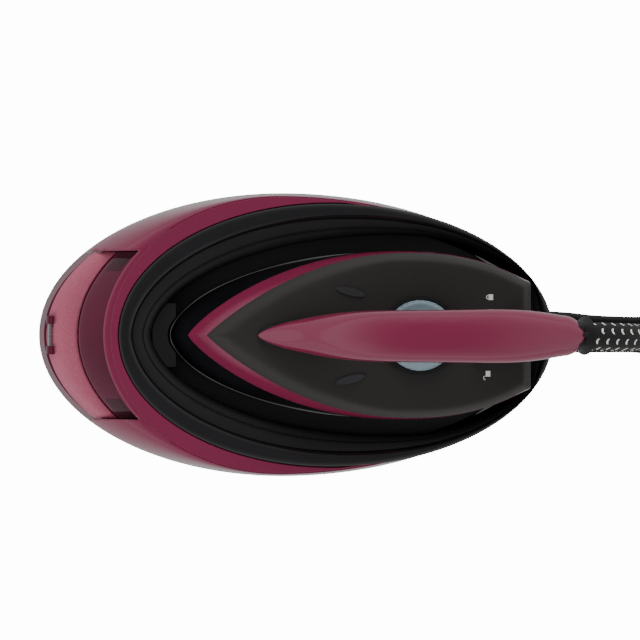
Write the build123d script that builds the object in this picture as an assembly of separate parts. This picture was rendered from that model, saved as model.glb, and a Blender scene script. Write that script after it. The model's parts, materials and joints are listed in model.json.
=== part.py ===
from build123d import *
from math import cos, pi, radians, sin, tan
import os

# Steam generator iron: an oval base with a water tank, pump and boiler, and a steam iron resting on it.
# Millimetres.  +Z is up, z = 0 is the table.  -X is the nose of the iron and the water tank,
# +X is the heel, where the steam hose and the mains cord leave.

os.makedirs("parts", exist_ok=True)

# ---------------------------------------------------------------- clearances
SEAT = 0.3  # between a piece and what carries it, across a joint
SLIDE_GAP = 0.7  # around the water tank in its bay
RUN = 0.05  # radial clearance of a spindle or pin in its hole
ROOM = 0.5  # around a piece that passes through a hole without touching it

# ---------------------------------------------------------------- base outline (two half ovals)
BASE_WIDEST_X = -15.0
BASE_NOSE = 181.0  # widest line to the front of the tank
BASE_TAIL = 199.0  # widest line to the rear
BASE_HALF = 106.0
WALL = 3.0

# ---------------------------------------------------------------- base heights
FOOT_H = 6.0
PAN_TOP = 28.0
WIDEST_Z = 70.0
SPLIT_Z = 108.0  # side shell below, top cover above
RIM_NOSE_Z = 146.0
RIM_TAIL_Z = 118.0
PAN_INSET = 14.0  # how far the pan's floor lies inside the widest outline
FOOT_LEVEL_INSET = 5.0  # the same, where the pan meets the side shell
TOP_INSET = 3.0  # the same, at the split

# ---------------------------------------------------------------- top cover rim and rest tray
RIM_NOSE = 122.0
RIM_TAIL = 194.0
RIM_HALF = 100.0
RIM_END_X = 55.0  # the cover's side strips have run out here
TRAY_WIDEST_X = 22.0
TRAY_NOSE = 153.0
TRAY_TAIL = 162.0
TRAY_HALF = 95.5
TRAY_LIP = 1.5  # the tray stands this much above the rim
TRAY_FLOOR = 3.0
TRAY_STEP = 14.0  # the tray's floor lies this far inside its rim
TRAY_FLOOR_END = 163.0  # the floor stops ahead of the tail
MAT_H = 6.0

# ---------------------------------------------------------------- water tank
TANK_HALF_Y = 60.3
TANK_REAR = 127.5  # widest line to the tank's rear wall
TANK_ROOF_Z = 118.0
TANK_WALL = 2.5
LID_NOSE = 171.0  # widest line to the lid's outer edge
BAND_NOSE = 148.0  # the same, where the satin crescent ends and the glossy band starts
BAND_HALF = 101.0
LID_PLATE = 2.7
LID_H = 7.0
BAND_H = 14.0
LID_PIN_X = -183.0
LID_PIN_R = 1.5
KNUCKLE_HALF = 7.5
MOUTH_X = -170.0
MOUTH_LENGTH = 14.0
MOUTH_WIDTH = 44.0
PORT_Z = 44.0  # height of the tank's water outlet
PORT_R = 5.0

# ---------------------------------------------------------------- iron outlines
IRON_NOSE_X = -96.0
IRON_WIDEST_X = 65.0
IRON_HEEL_X = 164.0
IRON_HALF = 60.7
IRON_HEEL_HALF = 38.6
WELL_GAP_NOSE = 13.0
WELL_GAP_SIDE = 12.5
WELL_GAP_HEEL = 2.5

# ---------------------------------------------------------------- iron heights
SOLE_H = 5.0
CHAMBER_H = 19.7
CHAMBER_LID_H = 2.5
SKIRT_H = 27.7
STRIPE_H = 13.0
DECK_H = 8.0
SHELL = 2.5  # wall of the iron's plastic shells

# ---------------------------------------------------------------- handle and controls
HANDLE_FRONT_X = -30.0
HANDLE_TOP_Z = 248.0
HANDLE_END_X = 191.0
HANDLE_HALF = 17.0
POST_HALF = 12.0
DIAL_X = 84.0
DIAL_R = 25.0
DIAL_H = 9.0
SPINDLE_R = 4.0
LOCK_X = 127.0
LOCK_TRAVEL = 20.0
TRIGGER_X = 44.0
TRIGGER_LENGTH = 30.0
TRIGGER_HALF = 7.0
TRIGGER_PIN_R = 1.5

# ---------------------------------------------------------------- hose and mains cord
HOSE_D = 19.0
HOSE_R = HOSE_D / 2
CORD_D = 8.0
CORD_R = CORD_D / 2
HOSE_COIL = (416.0, -100.0)
HOSE_COIL_R = 95.0
HOSE_COIL_TOP = 46.0  # centreline height of the coil's last turn
CORD_COIL = (345.0, 57.0)
CORD_COIL_R = 45.0
CORD_COIL_TOP = 47.6


# ================================================================ outlines
def closed(points, tangents, z):
    """A face at height z, symmetric about the X axis, from the points of its +Y half."""
    upper = Spline(*[(x, y, z) for x, y in points], tangents=tangents)
    lower = Spline(*[(x, -y, z) for x, y in points], tangents=[(x, -y) for x, y in tangents])
    edges = [upper.edge(), lower.edge()]
    if points[-1][1] > 0:
        (x, y) = points[-1]
        edges.append(Line((x, y, z), (x, -y, z)).edge())
    return Face(Wire(edges))


def oval(widest, nose, tail, half, z, inset=0.0):
    """Two half ellipses that share their widest line."""
    plane = Plane((widest, 0, z))
    front = Edge.make_ellipse(nose - inset, half - inset, plane, 90, 270)
    rear = Edge.make_ellipse(tail - inset, half - inset, plane, 270, 450)
    return Face(Wire([front, rear]))


def base_oval(z, inset=0.0):
    return oval(BASE_WIDEST_X, BASE_NOSE, BASE_TAIL, BASE_HALF, z, inset)


def tray_oval(z, inset=0.0):
    return oval(TRAY_WIDEST_X, TRAY_NOSE, TRAY_TAIL, TRAY_HALF, z, inset)


def band_oval(z, nose):
    """The ovals that bound the tank's rear wall, its grip band and its lid."""
    return oval(BASE_WIDEST_X, nose, nose, BAND_HALF, z)


def pod(nose_x, heel_x, half, heel_half, z, sharp=1.16, widest=IRON_WIDEST_X):
    """Outline of an iron: a pointed nose, a widest line and a straight heel."""
    points = []
    for angle in (0, 12, 26, 42, 60, 78):
        t = radians(angle)
        points.append((widest - (widest - nose_x) * cos(t), half * sin(t) ** sharp))
    for share in (0.15, 0.45, 0.75, 1.0):
        x = widest + (heel_x - widest) * share
        points.append((x, half - (half - heel_half) * share**2.4))
    points[0] = (nose_x, 0.0)
    heel_slope = -2.4 * (half - heel_half) / (heel_x - widest)
    return closed(points, [(0, 1), (1, heel_slope)], z)


def iron_pod(z, inset=0.0):
    return pod(IRON_NOSE_X + inset, IRON_HEEL_X - inset, IRON_HALF - inset, IRON_HEEL_HALF - inset, z)


def box_between(low, high):
    size = [b - a for a, b in zip(low, high)]
    centre = [(a + b) / 2 for a, b in zip(low, high)]
    return Pos(*centre) * Box(*size)


def prism(face, height):
    return extrude(face, amount=height, dir=(0, 0, 1))


def rod(start, end, radius):
    """A straight round bar between two points."""
    start, end = Vector(*start), Vector(*end)
    axis = end - start
    plane = Plane(origin=start, z_dir=axis)
    return extrude(plane * Circle(radius), amount=axis.length)


def upright(x, y, z, radius, height):
    return Pos(x, y, z + height / 2) * Cylinder(radius, height)


def tube_path(points):
    """Straight runs joined by arcs that are as large as the runs allow, and the arcs' radii."""
    vectors = [Vector(*p) for p in points]
    radii = []
    for before, here, after in zip(vectors, vectors[1:], vectors[2:]):
        turn = (here - before).get_angle(after - here)
        shorter = min((here - before).length, (after - here).length)
        radii.append(0.45 * shorter / tan(radians(turn) / 2))
    return FilletPolyline(*points, radius=radii), radii


def tube(points, radius, name=""):
    path, radii = tube_path(points)
    section = Plane(origin=path @ 0, z_dir=path % 0) * Circle(radius)
    solid = sweep(section, path=path)
    if name:
        share = solid.volume / (pi * radius**2 * path.length)
        print(name, "radii", [round(r) for r in radii], "length", round(path.length), "share", round(share, 4))
    return solid


def slope_z(x):
    """Height of the sloping rim plane over x."""
    front = BASE_WIDEST_X - RIM_NOSE
    rear = TRAY_WIDEST_X + TRAY_TAIL
    return RIM_NOSE_Z + (RIM_TAIL_Z - RIM_NOSE_Z) * (x - front) / (rear - front)


def above_slope(lift=0.0):
    """Everything over the sloping rim plane, raised by lift."""
    far = 400.0
    profile = Polyline(
        (-far, slope_z(-far) + lift), (far, slope_z(far) + lift), (far, 500), (-far, 500), close=True
    )
    return extrude(Plane.XZ * make_face(profile), amount=far, both=True)


nodes = {}

# ================================================================ base: pan, feet, shells
tray_base_z = SPLIT_Z
mat_top = tray_base_z + MAT_H
sole_z = mat_top + SEAT
chamber_z = sole_z + SOLE_H
lid_z = chamber_z + CHAMBER_H
stripe_z = chamber_z + SKIRT_H
deck_z = stripe_z + STRIPE_H
deck_top = deck_z + DECK_H
FAR = 300.0


def bay(reach, half_y, low, high):
    """The water tank's space: ahead of the rear wall's oval, between two side planes."""
    block = box_between((-FAR, -half_y, low), (BASE_WIDEST_X - 60, half_y, high))
    return block - prism(band_oval(low - 1, reach), high - low + 2)


def hull(inset, low=PAN_TOP):
    """The side shell's outer body, or its hollow at an inset."""
    sections = [
        base_oval(low, FOOT_LEVEL_INSET + inset),
        base_oval(WIDEST_Z, inset),
        base_oval(SPLIT_Z, TOP_INSET + inset),
    ]
    return loft(sections)


pan_floor = 3.0
pan_outer = loft([base_oval(FOOT_H, PAN_INSET), base_oval(PAN_TOP, FOOT_LEVEL_INSET)])
pan_hollow = loft(
    [base_oval(FOOT_H + pan_floor, PAN_INSET + 1.5), base_oval(PAN_TOP, FOOT_LEVEL_INSET + WALL)]
)
tank_shelf = box_between((-FAR, -TANK_HALF_Y, PAN_TOP - 3), (-120, TANK_HALF_Y, PAN_TOP)) & pan_outer
base_pan = pan_outer - pan_hollow + tank_shelf

# bosses and saddles on the pan's floor carry what stands inside
BOILER_X = (0.0, 124.0)
BOILER_R = 39.0
BOILER_Z = 59.0
floor_z = FOOT_H + pan_floor
boiler_bottom = BOILER_Z - BOILER_R
for x in (25.0, 100.0):
    saddle = box_between((x - 3, -28, floor_z), (x + 3, 28, boiler_bottom + 16))
    base_pan += saddle - rod((x - 5, 0, BOILER_Z), (x + 5, 0, BOILER_Z), BOILER_R + SEAT)

BOARD = ((-96.0, -72.0), (-20.0, -28.0))
BOARD_Z = 20.0
board_holes = [(x, y) for x in (BOARD[0][0] + 5, BOARD[1][0] - 5) for y in (BOARD[0][1] + 5, BOARD[1][1] - 5)]
for x, y in board_holes:
    base_pan += upright(x, y, floor_z, 3.5, BOARD_Z - floor_z)

FOOT_SPOTS = [(x, y) for x in (-120.0, 120.0) for y in (-48.0, 48.0)]
FOOT_R = 11.0
PUMP_Y = 44.0
PUMP_X = (-88.0, -22.0)
PUMP_R = 17.0
PUMP_Z = 36.0
for x in (PUMP_X[0] + 9, PUMP_X[1] - 9):
    base_pan += box_between((x - 3, PUMP_Y - 10, floor_z), (x + 3, PUMP_Y + 10, PUMP_Z - PUMP_R - 5))

# drain cap in the middle of the pan, under the boiler
DRAIN_X = 62.0
DRAIN_R = 14.0
base_pan -= upright(DRAIN_X, 0, FOOT_H - 1, DRAIN_R + RUN, pan_floor + 2)

# vent slots in the pan's floor
for step in range(6):
    slot_x = -60.0 + 9 * step
    base_pan -= box_between((slot_x, -12, FOOT_H - 1), (slot_x + 4, 12, floor_z + 1))

body_shell = hull(0) - hull(WALL)
bay_low = PAN_TOP - 1
bay_wall = (
    bay(TANK_REAR - SLIDE_GAP - WALL, TANK_HALF_Y + SLIDE_GAP + WALL, PAN_TOP, SPLIT_Z)
    - bay(TANK_REAR - SLIDE_GAP, TANK_HALF_Y + SLIDE_GAP, bay_low, SPLIT_Z + 1)
) & hull(1)
ledge = prism(base_oval(SPLIT_Z - 3, TOP_INSET + 1), 3) - prism(tray_oval(SPLIT_Z - 4, TRAY_STEP - SEAT), 6)
body_shell = body_shell + ledge - bay(TANK_REAR - SLIDE_GAP, TANK_HALF_Y + SLIDE_GAP, bay_low, SPLIT_Z + 1)
body_shell = body_shell + bay_wall
body_shell -= rod((-160, 0, PORT_Z), (-120, 0, PORT_Z), 2.6)

# control panel pocket on the -Y side, where the outline runs almost parallel to X
PANEL_X = (-42.0, 12.0)
PANEL_Z = (60.0, 90.0)
PANEL_Y = -(BASE_HALF - 6.0)
PANEL_T = 3.0
panel_hole = box_between((PANEL_X[0], -BASE_HALF - 2, PANEL_Z[0]), (PANEL_X[1], PANEL_Y, PANEL_Z[1]))
panel_seat = box_between(
    (PANEL_X[0] - 3, PANEL_Y, PANEL_Z[0] - 3), (PANEL_X[1] + 3, PANEL_Y + 3, PANEL_Z[1] + 3)
)
panel_wall = box_between(
    (PANEL_X[0] - 3, -BASE_HALF + 2, PANEL_Z[0] - 3), (PANEL_X[1] + 3, PANEL_Y + 3, PANEL_Z[1] + 3)
)
body_shell = body_shell + (panel_wall & hull(1)) - panel_hole
BUTTON_XS = (-32.0, -15.0, 2.0)
BUTTON_Z = 71.0
BUTTON_R = 6.0
LAMP_Z = 83.0
LAMP_R = 1.6
for x in BUTTON_XS:
    body_shell -= rod((x, PANEL_Y - 1, BUTTON_Z), (x, PANEL_Y + 4, BUTTON_Z), BUTTON_R + 1)

# cord outlets at the tail
HOSE_GLAND = (176.0, -5.0, 27.0)
CORD_GLAND = (174.0, 14.0, 17.0)
GLAND_R = 12.0
CORD_GLAND_R = 5.5
hose_hole = rod((150, HOSE_GLAND[1], HOSE_GLAND[2]), (200, HOSE_GLAND[1], HOSE_GLAND[2]), GLAND_R - 1.9)
cord_hole = rod((150, CORD_GLAND[1], CORD_GLAND[2]), (200, CORD_GLAND[1], CORD_GLAND[2]), CORD_GLAND_R - 0.9)
base_pan = base_pan - hose_hole - cord_hole
body_shell -= hose_hole

nodes["rubber_feet"] = Compound([upright(x, y, 0, FOOT_R, FOOT_H) for x, y in FOOT_SPOTS])
nodes["base_pan"] = base_pan
nodes["body_shell"] = body_shell

# ================================================================ base: top cover, tray, rest mat
cover_base = SPLIT_Z
cover_outer = loft(
    [
        base_oval(cover_base, TOP_INSET),
        oval(BASE_WIDEST_X, RIM_NOSE, RIM_TAIL, RIM_HALF, RIM_NOSE_Z + 4),
    ]
)
cover_inner = loft(
    [
        base_oval(cover_base - 1, TOP_INSET + WALL),
        oval(BASE_WIDEST_X, RIM_NOSE - WALL, RIM_TAIL - WALL, RIM_HALF - WALL, RIM_NOSE_Z + 1),
    ]
)
top_cover = cover_outer - (cover_inner - prism(tray_oval(cover_base - 2, -WALL), 80))
top_cover = top_cover - prism(tray_oval(cover_base - 2, -SEAT), 80) - above_slope()
top_cover -= bay(TANK_REAR - SLIDE_GAP, TANK_HALF_Y + SLIDE_GAP, cover_base - 1, 200)
top_cover -= box_between((RIM_END_X, -FAR, 0), (FAR, FAR, 300))
nodes["top_cover"] = top_cover


def well(z, grow=0.0):
    """The tray's hollow around the iron."""
    return pod(
        IRON_NOSE_X - WELL_GAP_NOSE - grow,
        IRON_HEEL_X + WELL_GAP_HEEL + grow,
        IRON_HALF + WELL_GAP_SIDE + grow,
        IRON_HEEL_HALF + WELL_GAP_HEEL - 1 + grow,
        z,
        sharp=1.1,
    )


tray_top = prism(tray_oval(tray_base_z), 60) - above_slope(TRAY_LIP)
tray_top -= prism(well(tray_base_z), 80)
under_lip = prism(tray_oval(tray_base_z - 1, WALL), 60) - above_slope(TRAY_LIP - WALL)
tray_top -= under_lip - prism(well(tray_base_z - 2, WALL), 80)
tray_floor = prism(tray_oval(tray_base_z - TRAY_FLOOR, TRAY_STEP), TRAY_FLOOR)
tray_floor -= box_between((TRAY_FLOOR_END, -FAR, 0), (FAR, FAR, tray_base_z + 1))
rest_tray = tray_top + tray_floor
nodes["rest_tray"] = rest_tray

mat_outer = prism(iron_pod(tray_base_z, 16), MAT_H)
mat_inner = prism(iron_pod(tray_base_z - 1, 30), MAT_H + 2)
rest_mat = mat_outer - mat_inner
nodes["rest_mat"] = rest_mat

# the cradle that stops the iron's nose
CRADLE_X = (-108.0, -91.0)
CRADLE_HALF = 23.0
CRADLE_H = 20.0
cradle = box_between(
    (CRADLE_X[0], -CRADLE_HALF, tray_base_z), (CRADLE_X[1], CRADLE_HALF, tray_base_z + CRADLE_H)
)
cradle = cradle & prism(well(tray_base_z - 1, -0.5), 60)
nodes["nose_cradle"] = cradle - prism(iron_pod(tray_base_z - 1, -1.0), 60)

# the keeper that the iron's lock tongue slides under, hidden below the handle's tail
TONGUE_Z = deck_z - 10.0
TONGUE_H = 3.0
KEEPER_X = (IRON_HEEL_X + 1.8, IRON_HEEL_X + 11.0)
KEEPER_Y = (3.0, 16.0)
TONGUE_END = IRON_HEEL_X + 6.0
keeper = box_between((KEEPER_X[0], KEEPER_Y[0], tray_base_z), (KEEPER_X[1], KEEPER_Y[1], TONGUE_Z + 8))
keeper &= above_slope(TRAY_LIP)
keeper -= box_between((0, -50, TONGUE_Z - 1), (TONGUE_END + 1, 50, TONGUE_Z + TONGUE_H + 1))
nodes["heel_keeper"] = keeper

# ================================================================ base: water tank and its lid
tank_low = PAN_TOP + SEAT
tank_sections = loft(
    [base_oval(PAN_TOP, FOOT_LEVEL_INSET), base_oval(WIDEST_Z, 0), base_oval(SPLIT_Z, TOP_INSET)]
) + loft([base_oval(SPLIT_Z, TOP_INSET), base_oval(TANK_ROOF_Z, TOP_INSET + 5)])
hollow_sections = loft(
    [
        base_oval(PAN_TOP, FOOT_LEVEL_INSET + TANK_WALL),
        base_oval(WIDEST_Z, TANK_WALL),
        base_oval(SPLIT_Z, TOP_INSET + TANK_WALL),
    ]
) + loft([base_oval(SPLIT_Z, TOP_INSET + TANK_WALL), base_oval(TANK_ROOF_Z, TOP_INSET + 5 + TANK_WALL)])
tank_outer = tank_sections & bay(TANK_REAR, TANK_HALF_Y, tank_low, TANK_ROOF_Z)
tank_hollow = hollow_sections & bay(
    TANK_REAR + TANK_WALL, TANK_HALF_Y - TANK_WALL, tank_low + TANK_WALL, TANK_ROOF_Z - TANK_WALL
)
mouth = box_between(
    (MOUTH_X - MOUTH_LENGTH / 2, -MOUTH_WIDTH / 2, TANK_ROOF_Z - 6),
    (MOUTH_X + MOUTH_LENGTH / 2, MOUTH_WIDTH / 2, TANK_ROOF_Z + 2),
)
port_rear = BASE_WIDEST_X - TANK_REAR
outlet_hole = rod((port_rear - 8, 0, PORT_Z), (port_rear + 4, 0, PORT_Z), PORT_R + RUN)
lid_low = TANK_ROOF_Z + SEAT
lid_pin_z = lid_low + LID_PIN_R + 1.8
water_tank = tank_outer - tank_hollow - mouth - outlet_hole
outlet_boss = rod((port_rear - 9, 0, PORT_Z), (port_rear - 1, 0, PORT_Z), PORT_R + 2)
water_tank += outlet_boss - rod((port_rear - 10, 0, PORT_Z), (port_rear + 1, 0, PORT_Z), 2.5)
ear_x = (LID_PIN_X - 3, LID_PIN_X + 3)
EAR_R = 3.0
for side in (-1, 1):
    ear = box_between((ear_x[0], -3, TANK_ROOF_Z - 1), (ear_x[1], 3, lid_pin_z))
    ear += rod((LID_PIN_X, -3, lid_pin_z), (LID_PIN_X, 3, lid_pin_z), EAR_R)
    water_tank += Pos(0, side * (KNUCKLE_HALF + 3.5), 0) * ear
lid_pin = rod((LID_PIN_X, -KNUCKLE_HALF - 6, lid_pin_z), (LID_PIN_X, KNUCKLE_HALF + 6, lid_pin_z), LID_PIN_R)
water_tank -= lid_pin
nodes["water_tank"] = water_tank


def lid_layer(low, high, reach):
    """A slice of the lid, from its outer edge back to an inner oval."""
    outline = oval(BASE_WIDEST_X, LID_NOSE, BASE_TAIL, BASE_HALF - 6, low)
    return prism(outline, high - low) & bay(reach, TANK_HALF_Y, 60, 200)


fill_lid = lid_layer(lid_low, lid_low + LID_PLATE, TANK_REAR) + lid_layer(
    lid_low, TANK_ROOF_Z + LID_H, BAND_NOSE
)
round_front = rod((LID_PIN_X, -50, lid_pin_z), (LID_PIN_X, 50, lid_pin_z), LID_PIN_R + 1.7)
fill_lid -= box_between((-FAR, -50, 100), (LID_PIN_X, 50, 140)) - round_front
for side in (-1, 1):
    notch = box_between((ear_x[0] - 5, -3.5, 100), (ear_x[1] + ROOM, 3.5, 140))
    fill_lid -= Pos(0, side * (KNUCKLE_HALF + 3.5), 0) * notch
fill_lid -= rod((LID_PIN_X, -60, lid_pin_z), (LID_PIN_X, 60, lid_pin_z), LID_PIN_R + RUN)
nodes["fill_lid"] = fill_lid
nodes["lid_pin"] = lid_pin

band_low = lid_low + LID_PLATE
band = bay(TANK_REAR, TANK_HALF_Y, band_low, TANK_ROOF_Z + BAND_H)
band &= prism(band_oval(band_low - 1, BAND_NOSE - 0.4), BAND_H + 4)
clip_y = TANK_HALF_Y - 9.0
clips = []
for side in (-1, 1):
    y = side * clip_y
    band -= box_between((-134.0, y - 4, band_low - 1), (-123.0, y + 4, band_low + 5))
    clips.append(box_between((-133.0, y - 3, band_low), (-124.0, y + 3, band_low + 4)))
nodes["lid_band"] = band
nodes["lid_clips"] = Compound(clips)
nodes["valve_plunger"] = rod((port_rear - 11, 0, PORT_Z), (port_rear - 1.5, 0, PORT_Z), 2.5 - RUN)
bay_face = port_rear + SLIDE_GAP
port_face = bay_face + WALL + 0.4
inlet = rod((port_face, 0, PORT_Z), (port_face + 9, 0, PORT_Z), 7.0)
inlet -= rod((port_face - 1, 0, PORT_Z), (port_face + 10, 0, PORT_Z), 2.6)
nodes["inlet_port"] = inlet

# ================================================================ base: what is inside
boiler = rod((BOILER_X[0] + 6, 0, BOILER_Z), (BOILER_X[1] - 6, 0, BOILER_Z), BOILER_R)
for x, way in ((BOILER_X[0] + 6, -1), (BOILER_X[1] - 6, 1)):
    boiler += loft(
        [
            Plane((x, 0, BOILER_Z), z_dir=(way, 0, 0)) * Circle(BOILER_R),
            Plane((x + way * 6, 0, BOILER_Z), z_dir=(way, 0, 0)) * Circle(BOILER_R - 9),
        ]
    )
boiler_shell = 1.5
boiler -= rod(
    (BOILER_X[0] + 7, 0, BOILER_Z), (BOILER_X[1] - 7, 0, BOILER_Z), BOILER_R - boiler_shell
)
ELEMENT_R = 4.0
element_z = BOILER_Z - 14.0
boiler -= rod((BOILER_X[1] - 10, 0, element_z), (BOILER_X[1] + 4, 0, element_z), 14.0)
drain_neck_r = 7.0
boiler -= upright(DRAIN_X, 0, boiler_bottom - 3, drain_neck_r, 8)
nodes["boiler"] = boiler

heater = rod((BOILER_X[1] - 6.5, 0, element_z), (BOILER_X[1] + 3, 0, element_z), 14.0 - RUN)
element_path = [
    (BOILER_X[1] - 5, -8, element_z),
    (BOILER_X[0] + 26, -8, element_z),
    (BOILER_X[0] + 18, 0, element_z),
    (BOILER_X[0] + 26, 8, element_z),
    (BOILER_X[1] - 5, 8, element_z),
]
heater += tube(element_path, ELEMENT_R)
nodes["boiler_element"] = heater

jacket = rod((34, 0, BOILER_Z), (91, 0, BOILER_Z), BOILER_R + 5) - rod(
    (33, 0, BOILER_Z), (92, 0, BOILER_Z), BOILER_R
)
jacket -= upright(DRAIN_X, 0, 0, DRAIN_R + 2, BOILER_Z)
nodes["boiler_jacket"] = jacket

drain_cap = upright(DRAIN_X, 0, FOOT_H, DRAIN_R, pan_floor)
drain_cap += upright(DRAIN_X, 0, FOOT_H + pan_floor, drain_neck_r - 1.5, boiler_bottom - FOOT_H - pan_floor)
drain_cap -= box_between((DRAIN_X - 10, -1.5, FOOT_H - 1), (DRAIN_X + 10, 1.5, FOOT_H + 1.5))
nodes["drain_cap"] = drain_cap

safety_valve = rod((BOILER_X[1], 0, BOILER_Z + 14), (BOILER_X[1] + 13, 0, BOILER_Z + 14), 6)
boiler_thermostat = rod((BOILER_X[1], -19, BOILER_Z + 6), (BOILER_X[1] + 7, -19, BOILER_Z + 6), 7)

nodes["boiler_fittings"] = Compound([safety_valve, boiler_thermostat])

VALVE_X = (-34.0, 0.0)
valve = box_between((VALVE_X[0], -12, 66), (VALVE_X[1] - 6, 12, 92))
valve += rod((VALVE_X[1] - 7, 0, BOILER_Z + 14), (VALVE_X[1], 0, BOILER_Z + 14), 6)
nodes["steam_valve"] = Compound([valve, rod((-18, -12, 79), (-18, -30, 79), 11)])

steam_pipe_r = 4.0
steam_run = [
    (VALVE_X[0], 0, 74),
    (VALVE_X[0] - 20, 0, 74),
    (VALVE_X[0] - 14, -46, 62),
    (10, -54, 48),
    (112, -54, 38),
    (138, -30, 30),
    (150, HOSE_GLAND[1], HOSE_GLAND[2]),
    (HOSE_GLAND[0] - 12, HOSE_GLAND[1], HOSE_GLAND[2]),
]
nodes["steam_pipe"] = tube(steam_run, steam_pipe_r)

pump = rod((PUMP_X[0], PUMP_Y, PUMP_Z), (PUMP_X[1], PUMP_Y, PUMP_Z), PUMP_R)
pump += box_between((PUMP_X[0] + 18, PUMP_Y - 19, PUMP_Z - 15), (PUMP_X[1] - 18, PUMP_Y + 19, PUMP_Z + 20))
pump_ends = rod((PUMP_X[0] - 8, PUMP_Y, PUMP_Z), (PUMP_X[1] + 8, PUMP_Y, PUMP_Z), 5)
nodes["pump"] = pump + pump_ends
mounts = []
for x in (PUMP_X[0] + 9, PUMP_X[1] - 9):
    block = box_between((x - 4, PUMP_Y - 13, PUMP_Z - PUMP_R - 5), (x + 4, PUMP_Y + 13, PUMP_Z - PUMP_R + 6))
    mounts.append(block - rod((x - 5, PUMP_Y, PUMP_Z), (x + 5, PUMP_Y, PUMP_Z), PUMP_R))
nodes["pump_mounts"] = Compound(mounts)

feed_r = 3.5
inlet_end = port_face + 9
inlet_tube = tube(
    [
        (inlet_end, 0, PORT_Z),
        (inlet_end + 14, 0, PORT_Z),
        (inlet_end + 16, 22, PORT_Z - 4),
        (PUMP_X[0] - 22, PUMP_Y, PUMP_Z),
        (PUMP_X[0] - 8, PUMP_Y, PUMP_Z),
    ],
    feed_r,
)
feed_tube = tube(
    [
        (PUMP_X[1] + 8, PUMP_Y, PUMP_Z),
        (PUMP_X[1] + 17, PUMP_Y, PUMP_Z),
        (BOILER_X[0] - 12, 18, PUMP_Z + 8),
        (BOILER_X[0], 18, PUMP_Z + 8),
    ],
    feed_r,
)
nodes["water_tubes"] = Compound([inlet_tube, feed_tube])

(board_low, board_high) = BOARD
board = box_between((*board_low, BOARD_Z), (*board_high, BOARD_Z + 1.6))
parts_on_board = [
    box_between((-88, -64, BOARD_Z + 1.6), (-66, -46, BOARD_Z + 17)),
    box_between((-60, -66, BOARD_Z + 1.6), (-44, -50, BOARD_Z + 13)),
    upright(-36, -58, BOARD_Z + 1.6, 5, 14),
    upright(-52, -38, BOARD_Z + 1.6, 4, 11),
    box_between((-84, -42, BOARD_Z + 1.6), (-64, -34, BOARD_Z + 12)),
]
board_screws = [upright(x, y, BOARD_Z + 1.6, 2.8, 2) for x, y in board_holes]
nodes["power_board"] = Compound([board, *parts_on_board, *board_screws])

# ---------------------------------------------------------------- control panel
plate = box_between(
    (PANEL_X[0] + SEAT, PANEL_Y - PANEL_T, PANEL_Z[0] + SEAT),
    (PANEL_X[1] - SEAT, PANEL_Y, PANEL_Z[1] - SEAT),
)
button_travel = 1.5
for x in BUTTON_XS:
    plate -= rod((x, PANEL_Y - PANEL_T - 1, BUTTON_Z), (x, PANEL_Y + 1, BUTTON_Z), BUTTON_R + RUN * 2)
    plate -= rod((x, PANEL_Y - PANEL_T - 1, LAMP_Z), (x, PANEL_Y + 1, LAMP_Z), LAMP_R)
nodes["panel_plate"] = plate
for name, x in zip(("power_button", "eco_button", "clean_button"), BUTTON_XS):
    button = rod((x, PANEL_Y - PANEL_T - 1.8, BUTTON_Z), (x, PANEL_Y + 3.4, BUTTON_Z), BUTTON_R)
    nodes[name] = button
nodes["panel_lamps"] = Compound(
    [rod((x, PANEL_Y - PANEL_T, LAMP_Z), (x, PANEL_Y, LAMP_Z), LAMP_R) for x in BUTTON_XS]
)
panel_board = box_between(
    (PANEL_X[0], PANEL_Y + 5.5, PANEL_Z[0] + 3), (PANEL_X[1], PANEL_Y + 7.1, PANEL_Z[1] - 3)
)
for x in (PANEL_X[0] + 1.5, PANEL_X[1] - 1.5):
    panel_board += box_between((x - 1, PANEL_Y + 3, PANEL_Z[0] + 4), (x + 1, PANEL_Y + 5.5, PANEL_Z[0] + 8))
    panel_board += box_between((x - 1, PANEL_Y + 3, PANEL_Z[1] - 8), (x + 1, PANEL_Y + 5.5, PANEL_Z[1] - 4))
nodes["panel_board"] = panel_board

# ---------------------------------------------------------------- cord outlets
hose_exit = (192.0, HOSE_GLAND[1], 24.0)
hose_second = (226.0, -5.0, 14.5)
cord_exit = (187.0, CORD_GLAND[1], CORD_GLAND[2] - 2)
cord_second = (205.0, 13.6, 9.5)


def strain_relief(root_point, exit_point, second, core, radius, length):
    """A gland through the wall and its sleeve, which points along the cord's first run."""
    out = Vector(*exit_point)
    way = (Vector(*second) - out).normalized()
    sleeve = rod(out - way * length, out, radius)
    shank_end = (exit_point[0] - length * 0.6, root_point[1], root_point[2])
    shank = rod((root_point[0] - 12, root_point[1], root_point[2]), shank_end, core)
    return shank + sleeve


nodes["hose_gland"] = strain_relief(HOSE_GLAND, hose_exit, hose_second, GLAND_R - 2.0, GLAND_R - 0.5, 8.5)
nodes["cord_gland"] = strain_relief(CORD_GLAND, cord_exit, cord_second, CORD_GLAND_R - 1.0, CORD_GLAND_R, 8.0)

# ================================================================ iron: sole, steam chamber, shells
def chamber_pod(z, inset=0.0):
    return pod(-62 + inset, 150 - inset, 46 - inset, 28 - inset, z, sharp=1.4)


sole = prism(iron_pod(sole_z), SOLE_H)
sole -= prism(chamber_pod(sole_z + 3), SOLE_H)
STEAM_HOLE_R = 1.6
steam_holes = []
for row in range(2):
    for step in range(9):
        x = -62.0 + 22 * step + 6 * row
        y = (38.0 - 15 * row) * sin(radians(14 + 9 * step))
        steam_holes += [(x, y), (x, -y)]
for x, y in steam_holes:
    sole -= upright(x, y, sole_z - 1, STEAM_HOLE_R, SOLE_H + 2)
nodes["soleplate"] = sole

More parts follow.
